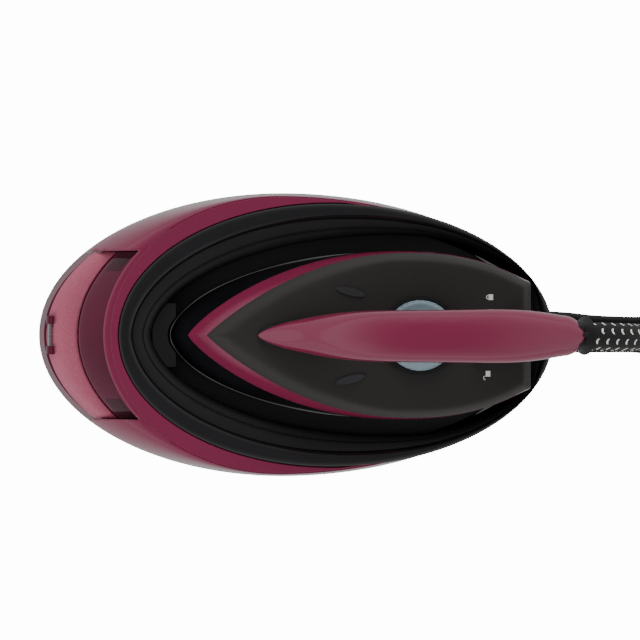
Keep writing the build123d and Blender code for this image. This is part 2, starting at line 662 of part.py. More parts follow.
chamber_low = sole_z + 3
chamber = prism(chamber_pod(chamber_low), lid_z - chamber_low)
chamber = chamber - prism(chamber_pod(chamber_low + 7, 5), 40)
for x, y in steam_holes[4:]:
    chamber -= upright(x, y, chamber_low - 1, STEAM_HOLE_R, 9)
nodes["steam_chamber"] = chamber
sole_element_z = chamber_low + 7 + 4.0
nodes["sole_element"] = tube(
    [
        (134, -14, sole_element_z),
        (62, -24, sole_element_z),
        (0, -16, sole_element_z),
        (-24, 0, sole_element_z),
        (0, 16, sole_element_z),
        (62, 24, sole_element_z),
        (134, 14, sole_element_z),
    ],
    3.7,
)
INLET_X = 138.0
chamber_cover = prism(chamber_pod(lid_z), CHAMBER_LID_H)
chamber_cover -= upright(INLET_X, 0, lid_z - 1, 3.5, 5)
nodes["chamber_lid"] = chamber_cover
lid_top = lid_z + CHAMBER_LID_H


def skirt_pod(z, inset=0.0):
    return iron_pod(z, 0.4 + inset)


def stripe_pod(z, inset=0.0):
    return pod(-81 + inset, 163.4 - inset, 60.2 - inset, 38.0 - inset, z, sharp=1.66, widest=68)


def deck_pod(z, inset=0.0):
    return pod(-67 + inset * 1.5, 163.0 - inset, 58.6 - inset, 36.5 - inset, z, sharp=1.9, widest=75)


def crown_pod(z, inset=0.0):
    return pod(-56 + inset * 1.5, 162.0 - inset, 52.0 - inset, 33.0 - inset, z, sharp=1.9, widest=78)


skirt = loft([skirt_pod(chamber_z), stripe_pod(stripe_z)])
skirt -= loft([skirt_pod(chamber_z, SHELL), stripe_pod(stripe_z, SHELL)])
stripe = loft([stripe_pod(stripe_z), deck_pod(deck_z)]) - loft(
    [stripe_pod(stripe_z, SHELL), deck_pod(deck_z, SHELL)]
)
deck = loft([deck_pod(deck_z), crown_pod(deck_top)])
deck -= loft([deck_pod(deck_z, SHELL), crown_pod(deck_top - SHELL, SHELL)])
tongue_slot = box_between((150, -14, TONGUE_Z - 0.5), (175, 14, TONGUE_Z + TONGUE_H + 0.5))
skirt -= tongue_slot
stripe -= tongue_slot
spindle_hole = upright(DIAL_X, 0, deck_z - 5, SPINDLE_R + RUN, 30)
knob_slot = box_between((LOCK_X - 3.5, -14, deck_z - 5), (LOCK_X + 3.5, 14, deck_top + 5))
tube_hole = upright(INLET_X + 8, 0, deck_z - 5, 6, 30)
deck = deck - spindle_hole - knob_slot - tube_hole
nodes["iron_skirt"] = skirt
nodes["stripe_trim"] = stripe
nodes["deck_cover"] = deck

# ================================================================ iron: handle
top_line = [
    (HANDLE_FRONT_X, deck_top + 2),
    (0, deck_top + 30),
    (35, HANDLE_TOP_Z - 16),
    (80, HANDLE_TOP_Z),
    (125, HANDLE_TOP_Z - 5),
    (165, HANDLE_TOP_Z - 21),
    (HANDLE_END_X, HANDLE_TOP_Z - 40),
]
split_line = [
    (HANDLE_FRONT_X, deck_top + 2),
    (4, deck_top + 20),
    (40, HANDLE_TOP_Z - 29),
    (82, HANDLE_TOP_Z - 15),
    (124, HANDLE_TOP_Z - 19),
    (162, HANDLE_TOP_Z - 34),
    (HANDLE_END_X - 3, HANDLE_TOP_Z - 50),
]


def handle_plan(half, grow=0.0):
    """Plan of the handle: pointed over the deck, full over the grip, round at the tail."""
    points = [
        (HANDLE_FRONT_X - grow, 0.0),
        (-10, half * 0.52),
        (20, half * 0.84),
        (60, half * 0.97),
        (115, half),
        (155, half * 0.96),
        (181, half * 0.72),
        (HANDLE_END_X + grow, 0.0),
    ]
    return closed(points, [(0, 1), (0, -1)], 100)


top_edge = Spline(*top_line).edge()
split_edge = Spline(*split_line).edge()
tail_edge = Line(top_line[-1], split_line[-1]).edge()
cover_profile = Plane.XZ * Face(Wire([top_edge, tail_edge, split_edge]))
handle_cover = extrude(cover_profile, amount=40, both=True) & prism(handle_plan(HANDLE_HALF), 200)
nodes["handle_cover"] = handle_cover

shell_bottom = [
    split_line[-1],
    (HANDLE_END_X - 4, HANDLE_TOP_Z - 55),
    (168, HANDLE_TOP_Z - 56),
    (161, deck_top),
    (HANDLE_FRONT_X + 4, deck_top),
    split_line[0],
]
shell_profile = Plane.XZ * Face(Wire([split_edge, *Polyline(*shell_bottom).edges()]))
handle_lower = extrude(shell_profile, amount=40, both=True) & prism(handle_plan(POST_HALF), 200)
finger_line = [
    (14, deck_top - 1),
    (27, deck_top + 22),
    (46, HANDLE_TOP_Z - 41),
    (80, HANDLE_TOP_Z - 34),
    (112, HANDLE_TOP_Z - 37),
    (128, HANDLE_TOP_Z - 50),
    (135, deck_top - 1),
]
finger_edge = Spline(*finger_line).edge()
finger_profile = Plane.XZ * Face(Wire([finger_edge, Line(finger_line[-1], finger_line[0]).edge()]))
handle_lower -= extrude(finger_profile, amount=50, both=True)

TRIGGER_Z = HANDLE_TOP_Z - 40.0
pocket_top = HANDLE_TOP_Z - 24.0
pocket = box_between(
    (TRIGGER_X - 6, -TRIGGER_HALF - 1, TRIGGER_Z - 12),
    (TRIGGER_X + TRIGGER_LENGTH, TRIGGER_HALF + 1, pocket_top),
)
pin_hole = rod((TRIGGER_X, -20, TRIGGER_Z + 3), (TRIGGER_X, 20, TRIGGER_Z + 3), TRIGGER_PIN_R)
handle_lower -= pocket & extrude(shell_profile, amount=40, both=True)
handle_lower -= pin_hole
steam_line = [
    (INLET_X + 8, 0, lid_top),
    (INLET_X + 8, 0, HANDLE_TOP_Z - 62),
    (INLET_X + 20, 0, HANDLE_TOP_Z - 49),
    (HANDLE_END_X - 13, 0, HANDLE_TOP_Z - 49),
]
handle_lower -= tube(steam_line, 4.5)
nodes["handle_lower"] = handle_lower
nodes["iron_steam_tube"] = tube(steam_line, 3.8)

trigger = box_between(
    (TRIGGER_X - 4, -TRIGGER_HALF, TRIGGER_Z), (TRIGGER_X + TRIGGER_LENGTH - 2, TRIGGER_HALF, TRIGGER_Z + 5)
)
trigger += rod((TRIGGER_X, -TRIGGER_HALF, TRIGGER_Z + 3), (TRIGGER_X, TRIGGER_HALF, TRIGGER_Z + 3), 4)
trigger -= rod(
    (TRIGGER_X, -20, TRIGGER_Z + 3), (TRIGGER_X, 20, TRIGGER_Z + 3), TRIGGER_PIN_R + RUN
)
nodes["steam_trigger"] = trigger
nodes["trigger_pin"] = rod((TRIGGER_X, -10, TRIGGER_Z + 3), (TRIGGER_X, 10, TRIGGER_Z + 3), TRIGGER_PIN_R)
nodes["micro_switch"] = box_between(
    (TRIGGER_X + 8, -3.5, pocket_top - 6), (TRIGGER_X + 26, 3.5, pocket_top)
)

# collar where the hose leaves the handle
hose_out = [
    (196.0, 0.0, 200.0),
    (220.7, -0.6, 186.9),
    (238.3, -1.2, 162.6),
    (253.8, -2.4, 115.0),
    (280.9, -3.4, 82.4),
    (318.0, -4.2, 63.7),
    (364.1, -4.8, 51.0),
    (HOSE_COIL[0], HOSE_COIL[1] + HOSE_COIL_R, HOSE_COIL_TOP),
]
hose_start = Vector(*hose_out[0])
aim = (Vector(*hose_out[1]) - hose_start).normalized()


def ring_plane(distance):
    """A plane across the hose's axis, this far before its exit from the collar."""
    return Plane(origin=hose_start - aim * distance, z_dir=aim)


collar = loft([ring_plane(15) * Circle(HOSE_R - 1.5), ring_plane(5) * Circle(HOSE_R + 0.8)])
collar += loft([ring_plane(5) * Circle(HOSE_R + 0.8), ring_plane(0) * Circle(HOSE_R + 3.2)])
collar -= handle_lower
collar -= handle_cover
collar -= tube(steam_line, 4.5)
collar -= box_between((hose_out[0][0], -HOSE_D, 150), (hose_out[0][0] + 20, HOSE_D, 250))
nodes["hose_collar"] = collar

# ================================================================ iron: dial, lenses, lock
bezel = upright(DIAL_X, 0, deck_top, DIAL_R + 3, 2.5) - upright(DIAL_X, 0, deck_top - 1, DIAL_R + 0.5, 5)
nodes["dial_bezel"] = bezel
thermostat_top = lid_top + 9.0
dial = upright(DIAL_X, 0, deck_top + SEAT, DIAL_R, DIAL_H)
for step in range(36):
    angle = radians(10 * step)
    dial -= upright(DIAL_X + DIAL_R * cos(angle), DIAL_R * sin(angle), deck_top + 3.5, 0.8, DIAL_H)
nodes["temperature_dial"] = dial
nodes["dial_spindle"] = upright(
    DIAL_X, 0, thermostat_top + SEAT, SPINDLE_R, deck_top - thermostat_top
)
nodes["iron_thermostat"] = upright(DIAL_X, 0, lid_top, 12, 9.0)

lens = Pos(35, 0, deck_top + 0.6) * (Rot(0, 0, 0) * extrude(Ellipse(10.5, 2.75), amount=0.6, both=True))
lenses = []
for side in (-1, 1):
    lenses.append(Pos(0, side * 31, 0) * (Pos(35, 0, 0) * Rot(0, 0, -side * 14) * Pos(-35, 0, 0) * lens))
nodes["indicator_lenses"] = Compound([solid for part in lenses for solid in part.solids()])

knob_y = -LOCK_TRAVEL / 2
knob = box_between((LOCK_X - 5.5, knob_y - 8, deck_top + SEAT), (LOCK_X + 5.5, knob_y + 8, deck_top + 6))
stem = box_between((LOCK_X - 3, knob_y - 3, TONGUE_Z), (LOCK_X + 3, knob_y + 3, deck_top + SEAT))
tongue = box_between((LOCK_X - 3, knob_y - 3, TONGUE_Z), (TONGUE_END, knob_y + 3, TONGUE_Z + TONGUE_H))
# a window in the tongue lets it slide past the steam tube
tube_x = INLET_X + 8
window_half = LOCK_TRAVEL / 2 + 5.5
tongue += box_between(
    (tube_x - 8, knob_y - window_half - 4, TONGUE_Z),
    (tube_x + 8, knob_y + window_half + 4, TONGUE_Z + TONGUE_H),
)
tongue -= box_between(
    (tube_x - 5, knob_y - window_half, TONGUE_Z - 1),
    (tube_x + 5, knob_y + window_half, TONGUE_Z + TONGUE_H + 1),
)
nodes["lock_slider"] = knob + stem + tongue

# ================================================================ steam hose
nodes["steam_hose"] = tube(hose_out, HOSE_R, "steam hose, iron side")


def ring(centre, radius, thick, top):
    """The outer shape of a coil of cord lying on the table."""
    outer = upright(*centre, 0, radius + thick, top)
    return outer - upright(*centre, -1, radius - thick, top + 2)


coil_x, coil_y = HOSE_COIL
hose_ring = ring(HOSE_COIL, HOSE_COIL_R, HOSE_R, HOSE_COIL_TOP + HOSE_R)
hose_back = [
    hose_exit,
    hose_second,
    (282.0, -5.0, HOSE_R),
    (321.0, -44.0, HOSE_R),
    (coil_x - HOSE_COIL_R, coil_y, HOSE_R),
]
hose_return = tube(hose_back, HOSE_R, "steam hose, base side")
lead = HOSE_R + 0.1
hose_ring -= box_between(
    (coil_x - HOSE_COIL_R - lead, coil_y, -1), (coil_x - HOSE_COIL_R + lead, 0, 2 * lead)
)
hose_ring -= box_between(
    (coil_x - 60, coil_y + HOSE_COIL_R - lead, HOSE_COIL_TOP - lead),
    (coil_x + 2, coil_y + HOSE_COIL_R + lead, HOSE_COIL_TOP + 2 * lead),
)
nodes["hose_coil"] = hose_ring
nodes["hose_return"] = hose_return

# ================================================================ mains cord
cord_x, cord_y = CORD_COIL
cord_out = [
    cord_exit,
    cord_second,
    (228.0, 10.4, CORD_R + 0.3),
    (268.0, 9.2, CORD_R),
    (308.0, 10.6, CORD_R),
    (cord_x, cord_y - CORD_COIL_R, CORD_R),
]
cord_tail = [
    (cord_x, cord_y - CORD_COIL_R, CORD_COIL_TOP),
    (405.0, 12.0, 38.0),
    (450.0, 26.0, 22.0),
    (455.0, 70.0, 15.0),
]
cord_ring = ring(CORD_COIL, CORD_COIL_R, CORD_R, CORD_COIL_TOP + CORD_R)
lead = CORD_R + 0.1
lead_y = (cord_y - CORD_COIL_R - 2 * lead, cord_y - CORD_COIL_R + lead + 1)
cord_ring -= box_between((cord_x - 40, lead_y[0], -1), (cord_x + 1, lead_y[1], 2 * lead))
cord_ring -= box_between(
    (cord_x - 1, lead_y[0], CORD_COIL_TOP - 3 * lead), (cord_x + 40, lead_y[1], CORD_COIL_TOP + 2 * lead)
)
nodes["mains_coil"] = cord_ring
mains_cord = tube(cord_out, CORD_R, "mains cord, base side")
plug_x, plug_y, plug_z = cord_tail[-1]
plug_body = box_between((plug_x - 24, plug_y, 0), (plug_x + 24, plug_y + 44, 28))
mains_tail = tube(cord_tail, CORD_R, "mains cord, plug side") - plug_body
nodes["mains_cord"] = Compound([mains_cord, mains_tail])
pins = []
for x in (-11, 11):
    pins.append(box_between((plug_x + x - 3.1, plug_y + 20, 28), (plug_x + x + 3.1, plug_y + 24, 46)))
pins.append(box_between((plug_x - 2, plug_y + 31, 28), (plug_x + 2, plug_y + 39, 50)))
nodes["mains_plug"] = Compound([plug_body, *pins])

for name, shape in nodes.items():
    export_step(shape, f"parts/{name}.step")
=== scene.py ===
"""Steam generator iron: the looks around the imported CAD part, laid out as an add-on.

Outlines and heights are in millimetres, as in the part; meshes are made in metres.
"""

import json
import math

import bmesh
import bpy
import numpy as np
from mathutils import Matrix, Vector


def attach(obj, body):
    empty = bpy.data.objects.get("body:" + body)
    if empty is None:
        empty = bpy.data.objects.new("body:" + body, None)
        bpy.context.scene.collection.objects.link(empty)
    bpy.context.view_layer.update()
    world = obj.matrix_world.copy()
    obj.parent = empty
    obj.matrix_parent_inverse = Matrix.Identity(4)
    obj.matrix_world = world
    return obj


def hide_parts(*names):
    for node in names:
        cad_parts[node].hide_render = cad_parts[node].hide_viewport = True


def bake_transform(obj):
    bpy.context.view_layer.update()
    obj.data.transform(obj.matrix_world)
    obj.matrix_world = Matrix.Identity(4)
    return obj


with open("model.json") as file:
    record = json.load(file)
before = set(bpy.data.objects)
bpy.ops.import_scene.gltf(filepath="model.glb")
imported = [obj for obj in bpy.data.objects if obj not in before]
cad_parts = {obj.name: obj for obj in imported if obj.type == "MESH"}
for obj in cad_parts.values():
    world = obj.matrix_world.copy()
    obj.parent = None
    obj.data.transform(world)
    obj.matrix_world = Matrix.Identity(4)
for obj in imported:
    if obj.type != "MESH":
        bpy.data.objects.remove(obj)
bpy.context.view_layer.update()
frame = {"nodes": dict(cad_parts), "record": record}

bl_info = {
    "name": "Steam generator iron",
    "version": (1, 0, 0),
    "blender": (4, 5, 0),
    "location": "3D View > Sidebar > Steam iron",
    "description": "Builds the shells, trims, hose, cord and finishes of a steam generator iron",
    "category": "Add Mesh",
}

MM = 0.001
TURN = np.radians(np.arange(0.0, 360.0, 1.0))  # every outline is cut in these directions; 180 is the nose


def linear(code):
    """Linear colour of an sRGB hex code."""
    parts = [int(code[k : k + 2], 16) / 255 for k in (1, 3, 5)]
    return [p / 12.92 if p <= 0.04045 else ((p + 0.055) / 1.055) ** 2.4 for p in parts]


# ---------------------------------------------------------------- sizes shared with the CAD part, in mm
WIDEST_X = -15.0
SPLIT_Z = 108.0
RIM = (122.0, 194.0, 100.0)
TRAY_X = 22.0
TRAY = (153.0, 162.0, 95.5)
SLOPE_LOW, SLOPE_HIGH = (184.0, 118.0), (-137.0, 146.0)
TANK_HALF = 60.3
TANK_REAR = 127.5
BAND_NOSE = 148.0
BAND_HALF = 101.0
LID_NOSE = 171.0
LID_Z = 118.3
SOLE_TOP = 119.3
STRIPE_Z = 147.0
DECK_Z = 160.0
DECK_TOP = 168.0
DIAL_X = 84.0
HOSE_COIL = (416.0, -100.0, 95.0)
CORD_COIL = (345.0, 57.0, 45.0)

# ---------------------------------------------------------------- sizes of the picture, in metres unless said
HOSE_WIDTH = 0.019
FLOOR_HALF = 6000.0  # mm
FLOOR_GLOW, FLOOR_GLARE = 0.3, 14.0  # what the object gets from the floor, and what the camera sees
HORIZON, CEILING = 0.95, 0.22  # strength of the surrounding light
LENS, SENSOR = 114.2, 36.0  # mm
VIEW_CENTRE = (0.0135, 0.0109)


class IronSettings(bpy.types.PropertyGroup):
    """Sizes and colours that a user would change."""

    hose_width: bpy.props.FloatProperty(
        name="Hose width", description="Diameter of the braided steam hose", default=HOSE_WIDTH, unit="LENGTH"
    )
    cord_width: bpy.props.FloatProperty(
        name="Cord width", description="Diameter of the mains cord", default=0.008, unit="LENGTH"
    )
    hose_turns: bpy.props.FloatProperty(
        name="Hose turns", description="Turns in the put-away part of the hose", default=1.75
    )
    cord_turns: bpy.props.FloatProperty(
        name="Cord turns", description="Turns in the mains cord's coil", default=5.0
    )
    fleck_pitch: bpy.props.FloatProperty(
        name="Fleck pitch", description="Distance between pale flecks along the braid",
        default=0.0085, unit="LENGTH",
    )
    camera_height: bpy.props.FloatProperty(
        name="Camera height", description="Height of the camera over the floor", default=1.6, unit="LENGTH"
    )
    handle_colour: bpy.props.FloatVectorProperty(
        name="Handle colour", description="Gloss plastic of the handle cover", subtype="COLOR",
        default=linear("#75203f"),
    )
    rim_colour: bpy.props.FloatVectorProperty(
        name="Rim colour", description="Gloss plastic of the base's rim", subtype="COLOR",
        default=linear("#741f40"),
    )
    shell_colour: bpy.props.FloatVectorProperty(
        name="Shell colour", description="Gloss plastic of the base's side", subtype="COLOR",
        default=linear("#3d0819"),
    )
    lid_colour: bpy.props.FloatVectorProperty(
        name="Lid colour", description="Satin plastic of the filling lid", subtype="COLOR",
        default=linear("#a9566b"),
    )


# ================================================================ materials
def add_node(material, kind, values=None, joins=None):
    """Adds a node, sets its values and joins its inputs to other nodes' outputs."""
    node = material.node_tree.nodes.new(kind)
    for name, value in (values or {}).items():
        if isinstance(name, str) and hasattr(node, name):
            setattr(node, name, value)
        else:
            node.inputs[name].default_value = value
    for name, source in (joins or {}).items():
        material.node_tree.links.new(source, node.inputs[name])
    return node


def shader_of(name):
    """A new material, its surface shader and its place coordinates in metres."""
    material = bpy.data.materials.new(name)
    material.use_nodes = True
    shader = material.node_tree.nodes["Principled BSDF"]
    place = add_node(material, "ShaderNodeTexCoord").outputs["Object"]
    return material, shader, place


def surface(
    name,
    colour,
    shade,
    rough=(0.3, 0.4),
    grain=0.5,
    depth=0.01,
    patch=35.0,
    metallic=0.0,
    coat=0.0,
    stretch=(1, 1, 1),
    ior=1.46,
):
    """A moulded, cast or brushed surface: its colour drifts in patches, and a fine grain roughens it.

    grain and depth are the real grain's width and height, and patch the width of a colour patch, in mm.
    """
    material, shader, place = shader_of(name)
    mapped = add_node(material, "ShaderNodeMapping", {"Scale": stretch}, {"Vector": place}).outputs["Vector"]
    drift = add_node(
        material, "ShaderNodeTexNoise", {"Scale": 1 / (patch * MM), "Detail": 2.0}, {"Vector": place}
    ).outputs["Fac"]
    fine = add_node(
        material, "ShaderNodeTexNoise", {"Scale": 1 / (grain * MM), "Detail": 3.0}, {"Vector": mapped}
    ).outputs["Fac"]
    mix = add_node(
        material,
        "ShaderNodeMix",
        {"data_type": "RGBA", 6: (*colour, 1), 7: (*shade, 1)},
        {"Factor": drift},
    )
    roughness = add_node(
        material, "ShaderNodeMapRange", {"To Min": rough[0], "To Max": rough[1]}, {"Value": fine}
    )
    relief = add_node(
        material, "ShaderNodeBump", {"Strength": 0.5, "Distance": depth * MM}, {"Height": fine}
    )
    material.node_tree.links.new(mix.outputs[2], shader.inputs["Base Color"])
    material.node_tree.links.new(roughness.outputs["Result"], shader.inputs["Roughness"])
    material.node_tree.links.new(relief.outputs["Normal"], shader.inputs["Normal"])
    shader.inputs["Metallic"].default_value = metallic
    if not metallic:
        shader.inputs["IOR"].default_value = ior
    if coat:
        shader.inputs["Coat Weight"].default_value = coat
        shader.inputs["Coat Roughness"].default_value = 0.04
    return material


def coded(name, colour, shade, *rest, **more):
    """A surface whose two colours are given as hex codes."""
    return surface(name, linear(colour), linear(shade), *rest, **more)


def darker(colour, share=0.82):
    return [c * share for c in colour]


def pearl_satin(name, colour):
    """Satin ABS with mica in it: fine bright specks about 0.4 mm apart, drawn at 1 mm so that they show."""
    material = surface(name, colour, darker(colour, 0.8), (0.3, 0.42), grain=0.6, depth=0.01, patch=40)
    shader = material.node_tree.nodes["Principled BSDF"]
    base = shader.inputs["Base Color"].links[0].from_socket
    place = next(n for n in material.node_tree.nodes if n.type == "TEX_COORD").outputs["Object"]
    cells = add_node(material, "ShaderNodeTexVoronoi", {"Scale": 1 / (1.0 * MM)}, {"Vector": place})
    speck = add_node(
        material,
        "ShaderNodeMapRange",
        {"From Min": 0.0, "From Max": 0.25, "To Min": 0.35, "To Max": 0.0},
        {"Value": cells.outputs["Distance"]},
    )
    bright = add_node(
        material,
        "ShaderNodeMix",
        {"data_type": "RGBA", 7: (1.0, 0.78, 0.82, 1)},
        {"Factor": speck.outputs["Result"], 6: base},
    )
    material.node_tree.links.new(bright.outputs[2], shader.inputs["Base Color"])
    return material


def braided_textile(name, pitch):
    """Braided polyester: black yarns that cross at 45 degrees, and a pale tracer yarn that shows as flecks.

    The piece's UV runs once round in U and in metres along V.
    """
    material, shader, _ = shader_of(name)
    uv = add_node(material, "ShaderNodeUVMap", {"uv_map": "along"}).outputs["UV"]
    split = add_node(material, "ShaderNodeSeparateXYZ", None, {"Vector": uv})
    around, along = split.outputs["X"], split.outputs["Y"]

    def sums(operation, first, second):
        """One arithmetic step between sockets or numbers."""
        node = add_node(material, "ShaderNodeMath", {"operation": operation})
        for socket, value in zip(node.inputs, (first, second)):
            if isinstance(value, (int, float)):
                socket.default_value = value
            else:
                material.node_tree.links.new(value, socket)
        return node.outputs["Value"]

    yarns = 24.0  # yarns of each direction round the sleeve
    lay = yarns / (math.pi * HOSE_WIDTH)  # yarns per metre along, for a 45 degree lay
    across_yarns, along_yarns = sums("MULTIPLY", around, yarns), sums("MULTIPLY", along, lay)
    left = sums("SINE", sums("MULTIPLY", sums("ADD", across_yarns, along_yarns), 2 * math.pi), 0)
    right = sums("SINE", sums("MULTIPLY", sums("SUBTRACT", across_yarns, along_yarns), 2 * math.pi), 0)
    weave = sums("MAXIMUM", left, right)
    # flecks: eight rows round the sleeve, each a short arch, every other row half a pitch on
    rows = sums("MULTIPLY", around, 8.0)
    row = sums("FLOOR", rows, 0)
    across = sums("SUBTRACT", sums("FRACT", rows, 0), 0.5)
    stagger = sums("MULTIPLY", sums("MODULO", row, 2.0), 0.5)
    arch = sums("MULTIPLY", sums("MULTIPLY", across, across), 1.6)
    step = sums("FRACT", sums("SUBTRACT", sums("ADD", sums("DIVIDE", along, pitch), stagger), arch), 0)
    gap = sums("ABSOLUTE", sums("SUBTRACT", step, 0.5), 0)
    narrow = sums("LESS_THAN", gap, 0.085)
    short = sums("LESS_THAN", sums("ABSOLUTE", across, 0), 0.27)
    fleck = sums("MULTIPLY", narrow, short)
    # painted shade and painted sheen: the colour follows the weave's height, near-black in the hollows between the
    # yarns and a lighter black on their crowns
    yarn = add_node(
        material,
        "ShaderNodeMix",
        {"data_type": "RGBA", 6: (*linear("#060607"), 1), 7: (*linear("#121213"), 1)},
        {"Factor": weave},
    )
    colour = add_node(
        material,
        "ShaderNodeMix",
        {"data_type": "RGBA", 7: (*linear("#e9e4dc"), 1)},
        {"Factor": fleck, 6: yarn.outputs[2]},
    )
    relief = add_node(material, "ShaderNodeBump", {"Strength": 0.5, "Distance": 0.25 * MM}, {"Height": weave})
    material.node_tree.links.new(colour.outputs[2], shader.inputs["Base Color"])
    material.node_tree.links.new(relief.outputs["Normal"], shader.inputs["Normal"])
    shader.inputs["Roughness"].default_value = 0.8
    shader.inputs["Sheen Weight"].default_value = 0.05
    return material


def all_finishes(settings):
    """The object's materials, by the record's slot that each stands for."""
    rim, shell, handle, lid = (
        list(c) for c in (settings.rim_colour, settings.shell_colour, settings.handle_colour, settings.lid_colour)
    )
    black = linear("#0d0d0f")
    soot = linear("#17171a")
    return {
        # gloss ABS from a polished mould: clean reflections, colour deepens a little in patches
        "shell_burgundy": surface("gloss_abs_burgundy", shell, darker(shell), (0.08, 0.14), coat=0.5),
        "rim_burgundy": surface("gloss_abs_rim", rim, darker(rim, 0.88), (0.1, 0.16), coat=0.4),
        "handle_burgundy": surface("gloss_abs_handle", handle, darker(handle, 0.9), (0.12, 0.18), coat=0.4),
        "tank_plum": coded("smoked_styrene_plum", "#5a1230", "#4a0d27", (0.07, 0.1), coat=0.6),
        "band_window": coded("smoked_styrene_dark", "#3f1022", "#30091a", (0.07, 0.1), coat=0.6),
        "lid_pink": pearl_satin("pearl_abs_pink", lid),
        "tray_black": surface("gloss_abs_black", black, soot, (0.1, 0.16), coat=0.5),
        # spark-eroded ABS: a fine even grain that scatters light, 0.3 mm grain drawn at 0.6 mm
        "tray_satin": coded("eroded_abs_black", "#151516", "#1c1c1d", (0.38, 0.5), 0.6, 0.03),
        "deck_black": coded("eroded_abs_deck", "#242221", "#2a2726", (0.42, 0.55), 0.6, 0.03),
        "skirt_black": surface("gloss_abs_skirt", black, soot, (0.12, 0.2), coat=0.3),
        "pan_black": coded("moulded_pp_black", "#18181a", "#202022", (0.5, 0.62), 0.8, 0.04),
        "foot_rubber": coded("moulded_rubber", "#131313", "#1b1b1b", (0.75, 0.85), 0.9, 0.05),
        "silicone": coded("silicone_rubber", "#1b1b1d", "#232326", (0.5, 0.6), 0.7, 0.02),
        "soft_tube": coded("silicone_tube", "#c9c6bd", "#b8b4aa", (0.35, 0.45), 0.9, 0.01),
        "dial_grey": coded("satin_abs_grey", "#7b8a93", "#71818a", (0.34, 0.42), 0.5, 0.01),
        "lens_clear": coded("smoked_acrylic", "#2b2b30", "#1e1e22", (0.05, 0.08), coat=0.8, ior=1.49),
        # rolled stainless steel, brushed along X: 0.2 mm lines drawn at 0.5 mm
        "sole_steel": coded(
            "brushed_stainless", "#b9b9bb", "#a9a9ac", (0.2, 0.34), 0.5, 0.008, metallic=1.0, stretch=(0.05, 1, 1)
        ),
        "boiler_steel": coded("drawn_stainless", "#b4b4b6", "#9d9da0", (0.25, 0.4), 0.7, 0.01, metallic=1.0),
        "cast_aluminium": coded("cast_aluminium", "#a5a6a8", "#8f9093", (0.45, 0.6), 1.0, 0.08, metallic=1.0),
        "valve_brass": coded("turned_brass", "#c79a4b", "#b08540", (0.25, 0.35), 0.5, 0.01, metallic=1.0),
        "jacket_felt": coded("needled_felt", "#cfcac0", "#b9b3a7", (0.9, 0.98), 0.9, 0.3),
        "circuit_green": coded("masked_board", "#1d5a2c", "#174b25", (0.3, 0.4), 0.8, 0.02),
        "pin_steel": coded("ground_steel", "#b7b8ba", "#a2a3a6", (0.22, 0.3), 0.4, 0.005, metallic=1.0),
        "hose_textile": braided_textile("braided_polyester", settings.fleck_pitch),
        "cord_rubber": coded("extruded_pvc", "#101011", "#161617", (0.42, 0.52), 0.8, 0.015),
        "plug_black": coded("moulded_pvc", "#141415", "#1b1b1c", (0.5, 0.6), 0.7, 0.03),
        "plug_pin": coded("plated_brass", "#c9b98f", "#b5a67e", (0.2, 0.28), 0.4, 0.004, metallic=1.0),
        # pad-printed ink, a little rough on the satin plastic
        "print_white": coded("printed_ink", "#d9d8d4", "#c9c8c4", (0.5, 0.6), 0.4, 0.004),
    }


FINISHES = {}


# ================================================================ mesh making
def mesh_piece(name, points, faces, sharp=35.0):
    """A smooth-shaded object from points in mm, its faces turned outwards, with creases over an angle."""
    mesh = bpy.data.meshes.new(name)
    mesh.from_pydata((np.asarray(points, float) * MM).tolist(), [], [tuple(int(v) for v in f) for f in faces])
    work = bmesh.new()
    work.from_mesh(mesh)
    bmesh.ops.remove_doubles(work, verts=work.verts, dist=2e-6)
    bmesh.ops.recalc_face_normals(work, faces=work.faces)
    work.to_mesh(mesh)
    work.free()
    mesh.polygons.foreach_set("use_smooth", [True] * len(mesh.polygons))
    mesh.set_sharp_from_angle(angle=math.radians(sharp))
    piece = bpy.data.objects.new(name, mesh)
    bpy.context.scene.collection.objects.link(piece)
    return piece


def dress(piece, finish, body, *nodes):
    """Gives a finished piece its material, slot and body, and hides the CAD nodes that it stands for."""
    piece.data.materials.clear()
    piece.data.materials.append(FINISHES[finish])
    if body:
        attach(piece, body)
    if nodes:
        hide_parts(*nodes)
    return piece


def skin(rings, caps=(True, True), looped=False):
    """Points and faces of a surface through rings of equal count, with end caps or looped on itself."""
    count = len(rings[0])
    points = [tuple(p) for ring in rings for p in ring]
    faces = []
    last = len(rings) if looped else len(rings) - 1
    for row in range(last):
        here, there = row * count, (row + 1) % len(rings) * count
        for k in range(count):
            nxt = (k + 1) % count
            faces.append((here + k, here + nxt, there + nxt, there + k))
    if not looped:
        for cap, row in zip(caps, (0, len(rings) - 1)):
            if cap:
                middle = len(points)
                points.append(tuple(np.mean(rings[row], axis=0)))
                faces += [(row * count + k, row * count + (k + 1) % count, middle) for k in range(count)]
    return points, faces


def oval_half(widest, nose, tail, half, inset=0.0):
    """The +Y half of two half ellipses that share their widest line."""
    t = np.linspace(0, math.pi, 721)
    reach_x = np.where(t <= math.pi / 2, nose, tail) - inset
    return np.column_stack([widest - reach_x * np.cos(t), (half - inset) * np.sin(t)])


